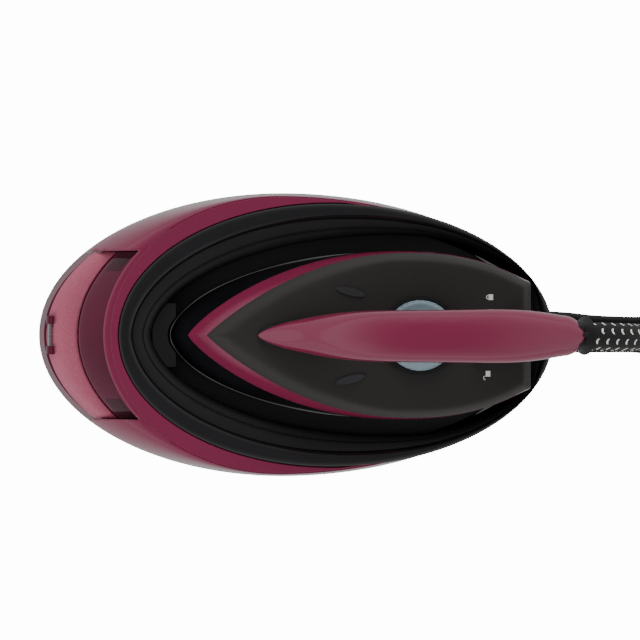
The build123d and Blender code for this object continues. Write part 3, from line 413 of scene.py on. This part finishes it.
def pod_half(nose_x, heel_x, half, heel_half, sharp, widest=65.0, inset=0.0):
    """The +Y half of an iron's outline: pointed nose, widest line, straight heel with a round corner."""
    nose_x, heel_x, half, heel_half = nose_x + inset, heel_x - inset, half - inset, heel_half - inset
    t = np.linspace(0, math.pi / 2, 400)
    front = np.column_stack([widest - (widest - nose_x) * np.cos(t), half * np.sin(t) ** sharp])
    share = np.linspace(0, 1, 200)[1:]
    side = np.column_stack([widest + (heel_x - widest) * share, half - (half - heel_half) * share**2.4])
    corner = 3.0
    side = side[side[:, 0] < heel_x - corner]
    top = side[-1, 1]
    bend = np.linspace(0, math.pi / 2, 12)[1:]
    round_part = np.column_stack([heel_x - corner + corner * np.sin(bend), top - corner * (1 - np.cos(bend))])
    heel = np.column_stack([np.full(80, heel_x), np.linspace(top - corner, 0, 80)])
    return np.vstack([front, side, round_part, heel])


def reach(half_outline, centre_x):
    """Distance from (centre_x, 0) to an outline, in each direction of TURN."""
    x, y = half_outline[:, 0] - centre_x, half_outline[:, 1]
    angle = np.arctan2(y, x)
    order = np.argsort(angle)
    folded = np.minimum(TURN, 2 * math.pi - TURN)
    return np.interp(folded, angle[order], np.hypot(x, y)[order])


def slope_z(x):
    """Height of the sloping rim plane over x."""
    (x0, z0), (x1, z1) = SLOPE_HIGH, SLOPE_LOW
    return z0 + (z1 - z0) * (x - x0) / (x1 - x0)


def ring_at(radii, centre_x, height):
    """A ring of points; height is a number or a function of x and y."""
    x, y = centre_x + radii * np.cos(TURN), radii * np.sin(TURN)
    z = height(x, y) if callable(height) else np.full(len(x), float(height))
    return np.column_stack([x, y, z])


def cut_away(piece, points, faces):
    """Cuts the space inside a closed surface out of a piece."""
    tool = mesh_piece("cutter", points, faces)
    step = piece.modifiers.new("cut", "BOOLEAN")
    step.object, step.operation, step.solver = tool, "DIFFERENCE", "EXACT"
    bpy.context.view_layer.update()
    cut = bpy.data.meshes.new_from_object(piece.evaluated_get(bpy.context.evaluated_depsgraph_get()))
    piece.modifiers.clear()
    piece.data = cut
    bpy.data.objects.remove(tool)
    return piece


def end_at(piece, x):
    """Cuts off everything beyond x, in mm, and closes the ends."""
    work = bmesh.new()
    work.from_mesh(piece.data)
    everything = [*work.verts, *work.edges, *work.faces]
    cut = bmesh.ops.bisect_plane(
        work, geom=everything, plane_co=(x * MM, 0, 0), plane_no=(1, 0, 0), clear_outer=True
    )
    bmesh.ops.edgenet_fill(work, edges=[e for e in cut["geom_cut"] if isinstance(e, bmesh.types.BMEdge)])
    bmesh.ops.recalc_face_normals(work, faces=work.faces)
    work.to_mesh(piece.data)
    work.free()


def prism(outline, low, high):
    """Points and faces of an upright prism over a plan outline."""
    ring = np.asarray(outline, float)
    count = len(ring)
    flat = [np.column_stack([ring, np.full(count, z)]) for z in (low, high)]
    points, faces = skin(flat, caps=(False, False))
    return points, [*faces, tuple(range(count)), tuple(range(2 * count - 1, count - 1, -1))]


def through(points, where):
    """A natural cubic through (x, y) points, read at where."""
    x, y = np.asarray(points, float).T
    n = len(x)
    h = np.diff(x)
    system, right = np.eye(n), np.zeros(n)
    for k in range(1, n - 1):
        system[k, k - 1 : k + 2] = h[k - 1], 2 * (h[k - 1] + h[k]), h[k]
        right[k] = 6 * ((y[k + 1] - y[k]) / h[k] - (y[k] - y[k - 1]) / h[k - 1])
    bend = np.linalg.solve(system, right)
    k = np.clip(np.searchsorted(x, where) - 1, 0, n - 2)
    a, b, s = where - x[k], x[k + 1] - where, h[k]
    return (
        bend[k] * b**3 / (6 * s)
        + bend[k + 1] * a**3 / (6 * s)
        + (y[k] / s - bend[k] * s / 6) * b
        + (y[k + 1] / s - bend[k + 1] * s / 6) * a
    )


# ================================================================ cords
def route_line(name, points):
    """The smooth line, in metres, of a NURBS spline with these control points in mm."""
    curve = bpy.data.curves.new(name, "CURVE")
    curve.dimensions = "3D"
    spline = curve.splines.new("NURBS")
    spline.points.add(len(points) - 1)
    for knot, point in zip(spline.points, points):
        knot.co = (*[v * MM for v in point], 1)
    spline.order_u = 3
    spline.use_endpoint_u = True
    curve.resolution_u = 10
    holder = bpy.data.objects.new(name, curve)
    bpy.context.scene.collection.objects.link(holder)
    bpy.context.view_layer.update()
    mesh = bpy.data.meshes.new_from_object(holder)
    line = [v.co.copy() for v in mesh.vertices]
    bpy.data.objects.remove(holder)
    bpy.data.meshes.remove(mesh)
    return line


def hose_mesh(name, line, radius, sides):
    """A round tube in metres along a line; its UV runs once round, and in metres along."""
    tangent = (line[1] - line[0]).normalized()
    side = tangent.cross(Vector((0, 0, 1))).normalized()
    points, lengths, total = [], [], 0.0
    for k, centre in enumerate(line):
        after, before = line[min(k + 1, len(line) - 1)], line[max(k - 1, 0)]
        heading = (after - before).normalized()
        side = (side - heading * side.dot(heading)).normalized()
        up = heading.cross(side)
        total += (centre - line[k - 1]).length if k else 0.0
        lengths.append(total)
        for s in range(sides):
            angle = 2 * math.pi * s / sides
            points.append(centre + (side * math.cos(angle) + up * math.sin(angle)) * radius)
    faces, marks = [], []
    for k in range(len(line) - 1):
        for s in range(sides):
            nxt = (s + 1) % sides
            faces.append((k * sides + s, k * sides + nxt, (k + 1) * sides + nxt, (k + 1) * sides + s))
            u0, u1, v0, v1 = s / sides, (s + 1) / sides, lengths[k], lengths[k + 1]
            marks.append(((u0, v0), (u1, v0), (u1, v1), (u0, v1)))
    for row, end in ((0, 0), (len(line) - 1, -1)):
        middle = len(points)
        points.append(line[end].copy())
        for s in range(sides):
            pair = (row * sides + s, row * sides + (s + 1) % sides)
            faces.append((*(pair if end else pair[::-1]), middle))
            marks.append(((0, 0),) * 3)
    mesh = bpy.data.meshes.new(name)
    mesh.from_pydata([tuple(p) for p in points], [], faces)
    layer = mesh.uv_layers.new(name="along")
    layer.data.foreach_set("uv", [c for face in marks for corner in face for c in corner])
    mesh.polygons.foreach_set("use_smooth", [True] * len(mesh.polygons))
    mesh.set_sharp_from_angle(angle=math.radians(50))
    tube = bpy.data.objects.new(name, mesh)
    bpy.context.scene.collection.objects.link(tube)
    return tube, total


def coil_turns(coil, turns, start, way, low, high, per_turn=16):
    """Control points of a coil: way is 1 for anticlockwise from above, and low to high are its heights."""
    x, y, radius = coil
    steps = round(turns * per_turn)
    points = []
    for k in range(steps + 1):
        angle = math.radians(start) + way * 2 * math.pi * k / per_turn
        points.append(
            (x + radius * math.cos(angle), y + radius * math.sin(angle), low + (high - low) * k / steps)
        )
    return points


# ================================================================ operators
class IRON_OT_stage(bpy.types.Operator):
    """Makes the floor, the lights and the camera."""

    bl_idname = "iron.stage"
    bl_label = "Stage"

    def execute(self, context):
        settings = context.scene.steam_iron
        corners = [(FLOOR_HALF * x, FLOOR_HALF * y, 0) for x, y in ((-1, -1), (1, -1), (1, 1), (-1, 1))]
        floor = mesh_piece("studio_floor", corners, [(0, 1, 2, 3)])
        paper = coded("matt_paper", "#8c8c8c", "#888888", (0.8, 0.9), 1.2, 0.02)
        shader = paper.node_tree.nodes["Principled BSDF"]
        shader.inputs["Emission Color"].default_value = (1, 1, 1, 1)
        # the backdrop is overexposed to the camera, yet sends little light up at the object
        seen = add_node(paper, "ShaderNodeLightPath").outputs["Is Camera Ray"]
        glare = add_node(
            paper, "ShaderNodeMapRange", {"To Min": FLOOR_GLOW, "To Max": FLOOR_GLARE}, {"Value": seen}
        )
        paper.node_tree.links.new(glare.outputs["Result"], shader.inputs["Emission Strength"])
        floor.data.materials.append(paper)
        world = bpy.data.worlds.new("studio_air")
        world.use_nodes = True
        # a bright horizon under a dim ceiling, as in a tent with its top closed
        place = add_node(world, "ShaderNodeTexCoord").outputs["Generated"]
        up = add_node(world, "ShaderNodeSeparateXYZ", None, {"Vector": place}).outputs["Z"]
        glow = add_node(
            world,
            "ShaderNodeMapRange",
            {"From Min": 0.1, "From Max": 0.9, "To Min": HORIZON, "To Max": CEILING},
            {"Value": up},
        )
        sky = world.node_tree.nodes["Background"]
        world.node_tree.links.new(glow.outputs["Result"], sky.inputs["Strength"])
        sky.inputs["Color"].default_value = (1, 1, 1, 1)
        context.scene.world = world
        # soft boxes: place, aim, size in metres, power in watts
        boxes = {
            "box_front_left": ((-2.2, -1.4, 1.5), (0, 0, 0.1), 1.8, 62),
            "box_rear": ((0.2, 2.6, 1.7), (0, 0, 0.1), 2.0, 66),
            "box_tail": ((2.6, -0.6, 1.5), (0.1, 0, 0.1), 1.6, 38),
        }
        for name, (place, aim, size, power) in boxes.items():
            lamp = bpy.data.lights.new(name, "AREA")
            lamp.size, lamp.energy = size, power
            holder = bpy.data.objects.new(name, lamp)
            holder.location = place
            holder.rotation_euler = (Vector(aim) - Vector(place)).to_track_quat("-Z", "Y").to_euler()
            holder.visible_glossy = False
            context.scene.collection.objects.link(holder)
        lens = bpy.data.cameras.new("camera")
        lens.lens, lens.sensor_width = LENS, SENSOR
        lens.clip_end = 30.0
        camera = bpy.data.objects.new("camera", lens)
        camera.location = (*VIEW_CENTRE, settings.camera_height)
        context.scene.collection.objects.link(camera)
        context.scene.camera = camera
        return {"FINISHED"}


class IRON_OT_cad_finishes(bpy.types.Operator):
    """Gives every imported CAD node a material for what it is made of."""

    bl_idname = "iron.cad_finishes"
    bl_label = "CAD finishes"

    def execute(self, context):
        FINISHES.update(all_finishes(context.scene.steam_iron))
        slots = {entry["slot"] for entry in frame["record"]["materials"]}
        for part in frame["record"]["subparts"]:
            slot = part["material_slot"]
            node = frame["nodes"].get(part["node"])
            if node is None or slot not in slots:
                raise RuntimeError(f"no node or slot for {part}")
            if not node.material_slots:
                node.data.materials.append(FINISHES[slot])
            for holder in node.material_slots:
                holder.material = FINISHES[slot]
        return {"FINISHED"}


class IRON_OT_steam_hose(bpy.types.Operator):
    """Runs the braided steam hose from the handle, through its put-away turns, to the base."""

    bl_idname = "iron.steam_hose"
    bl_label = "Steam hose"

    def execute(self, context):
        settings = context.scene.steam_iron
        down = [
            (196.0, 0.0, 200.0),
            (220.7, -0.6, 186.9),
            (238.3, -1.2, 162.6),
            (253.8, -2.4, 115.0),
            (280.9, -3.4, 82.4),
            (318.0, -4.2, 63.7),
            (364.1, -4.8, 51.0),
        ]
        back = [(321.0, -44.0, 9.5), (282.0, -5.0, 9.5), (226.0, -5.0, 14.5), (192.0, -5.0, 24.0)]
        turns = coil_turns(HOSE_COIL, settings.hose_turns, 90, -1, 46.0, 9.5)
        line = route_line("hose_route", [*down, *turns, *back])
        hose, length = hose_mesh("steam_hose_braided", line, settings.hose_width / 2, 28)
        dress(hose, "hose_textile", None, "steam_hose", "hose_coil", "hose_return")
        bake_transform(hose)
        return {"FINISHED"}


class IRON_OT_mains_cord(bpy.types.Operator):
    """Runs the mains cord from the base to its coil and its plug."""

    bl_idname = "iron.mains_cord"
    bl_label = "Mains cord"

    def execute(self, context):
        settings = context.scene.steam_iron
        out = [(187.0, 14.0, 15.0), (205.0, 13.6, 9.5), (228.0, 10.4, 4.3), (268.0, 9.2, 4.0), (308.0, 10.6, 4.0)]
        turns = coil_turns(CORD_COIL, settings.cord_turns, -90, 1, 4.0, 47.6)
        tail = [(405.0, 12.0, 38.0), (450.0, 26.0, 22.0), (455.0, 70.0, 15.0)]
        line = route_line("cord_route", [*out, *turns, *tail])
        cord, length = hose_mesh("mains_flex", line, settings.cord_width / 2, 16)
        plug = self.plug_body(*tail[-1])
        pins = self.plug_pins(*tail[-1])
        dress(plug, "plug_black", "base", "mains_plug")
        dress(pins, "plug_pin", "base")
        dress(cord, "cord_rubber", "base", "mains_cord", "mains_coil")
        return {"FINISHED"}

    def plug_body(self, x, y, z):
        """The moulded plug: a waisted block with a tapered entry for the flex."""
        rings = []
        profile = [
            (0, 6.0, 6.0), (2, 10, 8.5), (8, 15, 11), (14, 21, 13.6),
            (20, 23.4, 13.9), (38, 23.9, 13.9), (42, 22.5, 13.0), (43.9, 19, 10),
        ]
        for back, half_x, half_z in profile:
            ring = []
            for k in range(48):
                a = 2 * math.pi * k / 48
                square = 0.42
                px = half_x * math.copysign(abs(math.cos(a)) ** square, math.cos(a))
                pz = half_z * math.copysign(abs(math.sin(a)) ** square, math.sin(a))
                ring.append((x + px, y + back, 14.0 + pz))
            rings.append(ring)
        return mesh_piece("plug_moulding", *skin(rings), sharp=30)

    def plug_pins(self, x, y, z):
        """Three flat pins with chamfered tips."""
        points, faces = [], []
        pins = ((x - 11, y + 22, 3.1, 2.0, 45.9), (x + 11, y + 22, 3.1, 2.0, 45.9), (x, y + 35, 2.0, 4.0, 49.9))
        for px, py, wide, deep, top in pins:
            rings = []
            for level, inset in ((26.0, 0.0), (top - 1.2, 0.0), (top, 0.8)):
                w, d = wide - inset, deep - inset
                corners = ((-w, -d), (w, -d), (w, d), (-w, d))
                rings.append([(px + cx, py + cy, level) for cx, cy in corners])
            more, their = skin(rings)
            faces += [tuple(v + len(points) for v in f) for f in their]
            points += more
        return mesh_piece("plug_pins", points, faces, sharp=20)


class IRON_OT_reliefs(bpy.types.Operator):
    """Makes the ribbed, tapered sleeves where the hose and the flex leave the base."""

    bl_idname = "iron.reliefs"
    bl_label = "Strain reliefs"

    def execute(self, context):
        for name, root, out, wide, thin, node in (
            ("hose_relief", (170.0, -5.0, 27.0), (192.0, -5.0, 24.0), 11.5, 10.4, "hose_gland"),
            ("flex_relief", (166.0, 14.0, 18.0), (187.6, 14.0, 15.0), 6.4, 4.6, "cord_gland"),
        ):
            start, end = Vector(root), Vector(out)
            axis = (end - start).normalized()
            side = axis.cross(Vector((0, 0, 1))).normalized()
            up = side.cross(axis)
            rings = []
            steps = 40
            for k in range(steps + 1):
                share = k / steps
                rib = 0.55 if k % 5 in (2, 3) and 4 < k < steps - 2 else 0.0
                radius = wide + (thin - wide) * share - rib
                centre = start + (end - start) * share
                rings.append(
                    [
                        centre + (side * math.cos(a) + up * math.sin(a)) * radius
                        for a in np.linspace(0, 2 * math.pi, 33)[:-1]
                    ]
                )
            sleeve = mesh_piece(name, *skin(rings), sharp=60)
            dress(sleeve, "cord_rubber", "base", node)
        return {"FINISHED"}


class IRON_OT_base_shells(bpy.types.Operator):
    """Makes the base's top cover, its black bead and the satin well that the iron rests in."""

    bl_idname = "iron.base_shells"
    bl_label = "Base shells"

    def execute(self, context):
        self.top_cover()
        self.tray()
        return {"FINISHED"}

    def top_cover(self):
        """The glossy rim and shoulder, open at the front for the tank."""
        foot = reach(oval_half(WIDEST_X, 178.0, 196.0, 103.0), 0)
        rim = reach(oval_half(WIDEST_X, *RIM), 0)
        tray = np.minimum(reach(oval_half(TRAY_X, *TRAY), 0) + 0.25, rim - 1.6)

        def tuck(x, y):
            """Sinks the rim under the tray where the two meet towards the tail."""
            t = np.clip((x - 45) / 60, 0, 1)
            return slope_z(x) - 3.0 * t * t * (3 - 2 * t)

        rings = [ring_at(foot, 0, SPLIT_Z)]
        for u in np.linspace(0.06, 0.97, 12):
            radii = foot + (rim - foot) * u
            rise = math.sin(u * math.pi / 2) ** 0.85
            rings.append(ring_at(radii, 0, lambda x, y, r=rise: SPLIT_Z + (tuck(x, y) - SPLIT_Z) * r))
        for inset, drop in ((0.15, 0.55), (0.5, 0.15), (1.0, 0.0), (1.5, 0.0)):
            rings.append(ring_at(rim - inset, 0, lambda x, y, d=drop: tuck(x, y) - d))
        rings.append(ring_at(tray + 0.4, 0, tuck))
        rings.append(ring_at(tray, 0, lambda x, y: tuck(x, y) - 0.5))
        rings.append(ring_at(tray, 0, SPLIT_Z))
        cover = mesh_piece("rim_cover", *skin(rings, looped=True), sharp=40)
        end_at(cover, 94.0)
        across = np.linspace(61.0, -61.0, 61)
        front = [(-300.0, -61.0), (-300.0, 61.0)]
        back = [(WIDEST_X - 126.8 * math.sqrt(1 - (y / BAND_HALF) ** 2), y) for y in across]
        cut_away(cover, *prism(front + back, 90.0, 200.0))
        dress(cover, "rim_burgundy", "base", "top_cover")

    def tray(self):
        """A convex glossy bead outside, and a sloping satin band down to the well."""
        outer = reach(oval_half(TRAY_X, *TRAY), TRAY_X)
        well = reach(pod_half(-109.0, 166.5, 73.2, 40.1, 1.1), TRAY_X)

        def row(share, lift=None, z=None):
            radii = outer + (well - outer) * share
            return ring_at(radii, TRAY_X, z if lift is None else (lambda x, y: slope_z(x) + lift))

        bead_end = 0.45
        bead = [row(0, z=SPLIT_Z), row(0, lift=-1.2)]
        for u in np.linspace(0, 1, 17):
            bead.append(row(bead_end * u, lift=-0.9 + 2.3 * math.sin(math.pi * u) ** 0.55))
        bead += [row(bead_end, lift=-2.4), row(bead_end, z=SPLIT_Z)]
        dress(mesh_piece("tray_bead", *skin(bead, looped=True)), "tray_black", "base", "rest_tray")
        band = [row(1, z=SPLIT_Z - 3), row(0.62, z=SPLIT_Z - 3), row(0.62, z=SPLIT_Z), row(bead_end, z=SPLIT_Z)]
        band.append(row(bead_end, lift=-2.6))
        for share, lift in (
            (0.452, -1.9), (0.46, -1.65), (0.48, -1.6), (0.55, -1.75), (0.62, -2.1), (0.70, -2.6), (0.76, -3.1),
            (0.775, -3.9), (0.79, -3.9), (0.805, -3.35), (0.87, -4.0), (0.93, -4.8), (0.97, -5.7),
            (0.99, -6.6), (1.0, -7.6),
        ):
            band.append(row(share, lift=lift))
        band.append(row(1.0, z=SPLIT_Z))
        dress(mesh_piece("tray_well", *skin(band), sharp=50), "tray_satin", "base")


class IRON_OT_tank_lid(bpy.types.Operator):
    """Makes the tank's pearl filling lid, its smoked band and the dark windows at the band's ends."""

    bl_idname = "iron.tank_lid"
    bl_label = "Tank lid"

    def execute(self, context):
        across = np.linspace(-TANK_HALF, TANK_HALF, 61)

        def strip(name, outer, inner, top, low, span=across):
            """A strip across the nose between two half ellipses; top is its height over its width, 0 to 1."""
            rings = []
            for y in span:
                edge = min(1.0, (TANK_HALF - abs(y)) / 1.5)
                drop = 1.2 * (1 - math.sqrt(max(0.0, 1 - (1 - edge) ** 2)))
                x0 = WIDEST_X - outer[0] * math.sqrt(1 - (y / outer[1]) ** 2)
                x1 = WIDEST_X - inner[0] * math.sqrt(1 - (y / inner[1]) ** 2)
                ring = [(x0 + (x1 - x0) * u, y, top(u) - drop) for u in np.linspace(0, 1, 25)]
                ring += [(x1, y, low), (x0, y, low)]
                rings.append(ring)
            return mesh_piece(name, *skin(rings), sharp=38)

        def lid_top(u):
            return LID_Z + 0.8 + 5.8 * (1 - (1 - u) ** 2.4) - 0.9 * max(0.0, (u - 0.94) / 0.06) ** 2

        def band_top(u):
            round_edge = 1.0 * max(0.0, (0.06 - u) / 0.06) ** 2 + 0.9 * max(0.0, (u - 0.95) / 0.05) ** 2
            return 124.6 + 7.0 * u**0.85 - round_edge

        lid = strip("lid_crescent", (LID_NOSE, 100.0), (BAND_NOSE, BAND_HALF), lid_top, LID_Z)
        dress(lid, "lid_pink", "fill_lid", "fill_lid")
        band = strip("lid_grip_band", (BAND_NOSE - 0.4, BAND_HALF), (TANK_REAR, BAND_HALF), band_top, 121.0)
        dress(band, "tank_plum", "fill_lid", "lid_band")
        for side, name in ((-1, "band_window_right"), (1, "band_window_left")):
            span = np.linspace(side * 46.5, side * 58.6, 13)
            window = strip(
                name, (BAND_NOSE - 4.0, BAND_HALF), (TANK_REAR + 4.0, BAND_HALF),
                lambda u: 124.75 + 7.0 * (0.18 + 0.64 * u) ** 0.85, 123.5, span,
            )
            dress(window, "band_window", "fill_lid")
        return {"FINISHED"}


class IRON_OT_iron_shells(bpy.types.Operator):
    """Makes the iron's skirt, its coloured stripe and its ridged deck."""

    bl_idname = "iron.iron_shells"
    bl_label = "Iron shells"

    def execute(self, context):
        centre = 75.0
        wall = 2.4

        def pods(kind, inset=0.0):
            numbers = {
                "skirt": (-95.6, 163.6, 60.3, 38.2, 1.16, 65.0),
                "stripe": (-81.0, 163.4, 60.2, 38.0, 1.66, 68.0),
                "deck": (-67.0, 163.0, 58.6, 36.5, 1.9, 75.0),
            }[kind]
            return reach(pod_half(*numbers, inset=inset), centre)

        skirt, stripe, deck = pods("skirt"), pods("stripe"), pods("deck")
        skirt_in, stripe_in, deck_in = pods("skirt", wall), pods("stripe", wall), pods("deck", wall)

        def band(low, high, z0, z1, bulge, inner_low, inner_high):
            rings = []
            for u in np.linspace(0, 1, 15):
                radii = low + (high - low) * u + bulge * math.sin(math.pi * u)
                rings.append(ring_at(radii, centre, z0 + (z1 - z0) * u))
            rings += [ring_at(inner_high, centre, z1), ring_at(inner_low, centre, z0)]
            return skin(rings, looped=True)

        skirt_piece = mesh_piece(
            "skirt_shell", *band(skirt, stripe, SOLE_TOP + 0.1, STRIPE_Z - 0.3, 0.25, skirt_in, stripe_in)
        )
        slot = [(150.0, -14.0), (175.0, -14.0), (175.0, 14.0), (150.0, 14.0)]
        cut_away(skirt_piece, *prism(slot, 149.5, 153.5))
        dress(skirt_piece, "skirt_black", "iron", "iron_skirt")
        stripe_piece = mesh_piece(
            "stripe_shell", *band(stripe, deck, STRIPE_Z, DECK_Z - 0.3, 0.35, stripe_in, deck_in)
        )
        cut_away(stripe_piece, *prism(slot, 149.5, 153.5))
        dress(stripe_piece, "handle_burgundy", "iron", "stripe_trim")

        plan = pod_half(-67.0, 163.0, 58.6, 36.5, 1.9, 75.0)
        side = plan[: int(np.argmax(plan[:, 0])) + 1]

        def deck_height(x, y):
            """Rises from the edge: a sharp ridge at the nose, a flat top behind."""
            half = np.interp(x, side[:, 0], side[:, 1])
            gap = np.minimum(half - np.abs(y), 163.0 - x)
            run = np.interp(x, [-67.0, 20.0, 60.0], [17.0, 11.0, 7.0])
            t = np.clip(gap / run, 0, 1)
            return DECK_Z + (DECK_TOP - DECK_Z) * (1 - (1 - t) ** 2)

        rings = [ring_at(deck_in, centre, DECK_Z - 0.1), ring_at(deck, centre, DECK_Z)]
        for share in (
            0.004, 0.012, 0.025, 0.04, 0.06, 0.08, 0.105, 0.13, 0.16,
            0.2, 0.25, 0.31, 0.38, 0.46, 0.55, 0.65, 0.76, 0.88,
        ):
            rings.append(ring_at(deck * (1 - share), centre, deck_height))
        points, faces = skin(rings, caps=(False, True))
        points[-1] = (centre, 0.0, DECK_TOP)
        roof = mesh_piece("deck_shell", points, faces, sharp=60)
        roof.data.materials.append(FINISHES["deck_black"])
        thick = roof.modifiers.new("wall", "SOLIDIFY")
        thick.thickness, thick.offset = 0.002, -1
        bpy.context.view_layer.update()
        roof.data = bpy.data.meshes.new_from_object(roof.evaluated_get(context.evaluated_depsgraph_get()))
        roof.modifiers.clear()
        lock_slot = [(123.5, -14.0), (130.5, -14.0), (130.5, 14.0), (123.5, 14.0)]
        cut_away(roof, *prism(lock_slot, 140.0, 200.0))
        dress(roof, "deck_black", "iron", "deck_cover")
        return {"FINISHED"}


TOP_LINE = [(-30, 170), (0, 198), (35, 232), (80, 248), (125, 243), (165, 227), (195, 210)]
SPLIT_LINE = [(-30, 170), (4, 188), (40, 219), (82, 233), (124, 229), (162, 214), (195, 197)]
PLAN_LINE = [(-10, 0.52), (20, 0.84), (60, 0.97), (115, 1.0), (155, 0.97), (180, 0.78)]
HANDLE_HALF = 18.0
TAIL_X = 180.0
HANDLE_END = 195.5


def handle_half(x, widest):
    """Half-width of the handle over x: pointed in front, full over the grip, round at the tail."""
    if x < -10:
        return widest * 0.52 * ((x + 30) / 20) ** 0.62
    if x > TAIL_X:
        return widest * 0.78 * math.sqrt(max(0.0, 1 - ((x - TAIL_X) / (HANDLE_END - TAIL_X)) ** 2))
    return widest * float(through(PLAN_LINE, np.array([x]))[0])


class IRON_OT_handle(bpy.types.Operator):
    """Makes the arched gloss cover of the handle."""

    bl_idname = "iron.handle"
    bl_label = "Handle cover"

    def execute(self, context):
        stations = -30 + (HANDLE_END + 30) * (0.5 - 0.5 * np.cos(np.linspace(0, math.pi, 81)))
        tops, splits = through(TOP_LINE, stations), through(SPLIT_LINE, stations)
        rings = []
        for x, top, split in zip(stations, tops, splits):
            half = max(handle_half(float(x), HANDLE_HALF), 0.05)
            rise = max(top - split, 0.1)
            ring = []
            for a in np.linspace(0, math.pi, 31):
                y = half * math.copysign(abs(math.cos(a)) ** 0.82, math.cos(a))
                ring.append((x, y, split + rise * math.sin(a) ** 0.78))
            ring += [(x, -half * 0.9, split - 0.6), (x, half * 0.9, split - 0.6)]
            rings.append(ring)
        cover = mesh_piece("handle_gloss_cover", *skin(rings), sharp=50)
        dress(cover, "handle_burgundy", "iron", "handle_cover")
        self.collar()
        return {"FINISHED"}

    def collar(self):
        """The hose's collar: a waisted sleeve that flares to a thin wing where the hose leaves it."""
        start = Vector((196.0, 0.0, 200.0))
        aim = (Vector((220.7, -0.6, 186.9)) - start).normalized()
        side = aim.cross(Vector((0, 0, 1))).normalized()
        up = side.cross(aim)
        rings = []
        for back, radius in (
            (13, 8.0), (9, 9.9), (6.5, 10.2), (4, 10.6), (2, 11.6),
            (0.6, 13.2), (0.0, 13.4), (-0.3, 12.9), (-0.3, 9.6), (6, 9.0),
        ):
            ring = []
            for a in np.linspace(0, 2 * math.pi, 49)[:-1]:
                point = start - aim * back + (side * math.cos(a) + up * math.sin(a)) * radius
                if point.x < HANDLE_END - 0.5:
                    roof = float(through(TOP_LINE, np.array([point.x]))[0]) - 1.2
                    point.z = min(point.z, roof)
                ring.append(tuple(point))
            rings.append(ring)
        dress(mesh_piece("hose_wing_collar", *skin(rings), sharp=40), "cord_rubber", "iron", "hose_collar")


class IRON_OT_dial(bpy.types.Operator):
    """Makes the ribbed temperature dial and the printed marks on the deck."""

    bl_idname = "iron.dial"
    bl_label = "Dial and marks"

    def execute(self, context):
        ribs, count = 36, 360
        angle = 2 * math.pi * np.arange(count) / count
        wave = 0.5 - 0.5 * np.cos(ribs * angle)
        rings = []
        for level, radius, groove in (
            (168.4, 23.0, 0.0), (168.4, 24.4, 0.0), (169.0, 24.9, 0.0), (171.0, 24.9, 0.0),
            (171.6, 24.9, 0.8), (175.2, 24.5, 0.9), (176.4, 24.0, 0.6), (177.1, 22.8, 0.1),
            (177.2, 21.5, 0.0), (176.7, 20.4, 0.0), (176.5, 16.0, 0.0), (176.4, 6.0, 0.0),
        ):
            r = radius - groove * wave
            rings.append(np.column_stack([DIAL_X + r * np.cos(angle), r * np.sin(angle), np.full(count, level)]))
        dress(mesh_piece("dial_knob", *skin(rings), sharp=45), "dial_grey", "temperature_dial", "temperature_dial")
        pointer = prism([(DIAL_X - 20.0, 0.0), (DIAL_X - 15.5, 1.6), (DIAL_X - 15.5, -1.6)], 176.3, 176.75)
        dress(mesh_piece("dial_pointer", *pointer), "print_white", "temperature_dial")
        marks = {
            "lock_closed_mark": (134.0, 27.0, True),
            "lock_open_mark": (132.0, -27.0, False),
        }
        for name, (x, y, shut) in marks.items():
            points, faces = self.padlock(x, y, shut)
            dress(mesh_piece(name, points, faces), "print_white", "iron")
        return {"FINISHED"}

    def padlock(self, x, y, shut):
        """A generic padlock: a solid body and a bow, closed or swung aside."""
        low, high = DECK_TOP - 0.1, DECK_TOP + 0.12
        body = [(x - 1.6, y - 2.0), (x + 1.6, y - 2.0), (x + 1.6, y + 2.0), (x - 1.6, y + 2.0)]
        points, faces = prism(body, low, high)
        bow_y = y if shut else y - 2.9
        rings = []
        for k in range(13):
            a = math.pi * k / 12
            ring = []
            for r, z in ((1.0, low), (1.5, low), (1.5, high), (1.0, high)):
                ring.append((x - 1.6 - 1.3 * math.sin(a) * r / 1.25 - 0.2, bow_y + math.cos(a) * r, z))
            rings.append(ring)
        more, their = skin(rings)
        faces = faces + [tuple(v + len(points) for v in f) for f in their]
        return points + more, faces


class IRON_PT_panel(bpy.types.Panel):
    """Lists the object's pieces in the 3D view's sidebar."""

    bl_idname = "IRON_PT_panel"
    bl_label = "Steam generator iron"
    bl_space_type = "VIEW_3D"
    bl_region_type = "UI"
    bl_category = "Steam iron"

    def draw(self, context):
        for name in IronSettings.__annotations__:
            self.layout.prop(context.scene.steam_iron, name)
        for step in STEPS:
            self.layout.operator(step.bl_idname)


STEPS = (
    IRON_OT_stage,
    IRON_OT_cad_finishes,
    IRON_OT_steam_hose,
    IRON_OT_mains_cord,
    IRON_OT_reliefs,
    IRON_OT_base_shells,
    IRON_OT_tank_lid,
    IRON_OT_iron_shells,
    IRON_OT_handle,
    IRON_OT_dial,
)


def register():
    for entry in (IronSettings, *STEPS, IRON_PT_panel):
        bpy.utils.register_class(entry)
    bpy.types.Scene.steam_iron = bpy.props.PointerProperty(type=IronSettings)


def unregister():
    del bpy.types.Scene.steam_iron
    for entry in reversed((IronSettings, *STEPS, IRON_PT_panel)):
        bpy.utils.unregister_class(entry)


def main():
    """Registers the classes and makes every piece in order."""
    register()
    for step in STEPS:
        group, name = step.bl_idname.split(".")
        if getattr(getattr(bpy.ops, group), name)() != {"FINISHED"}:
            raise RuntimeError(f"{step.bl_idname} did not finish")


if __name__ == "__main__":
    main()
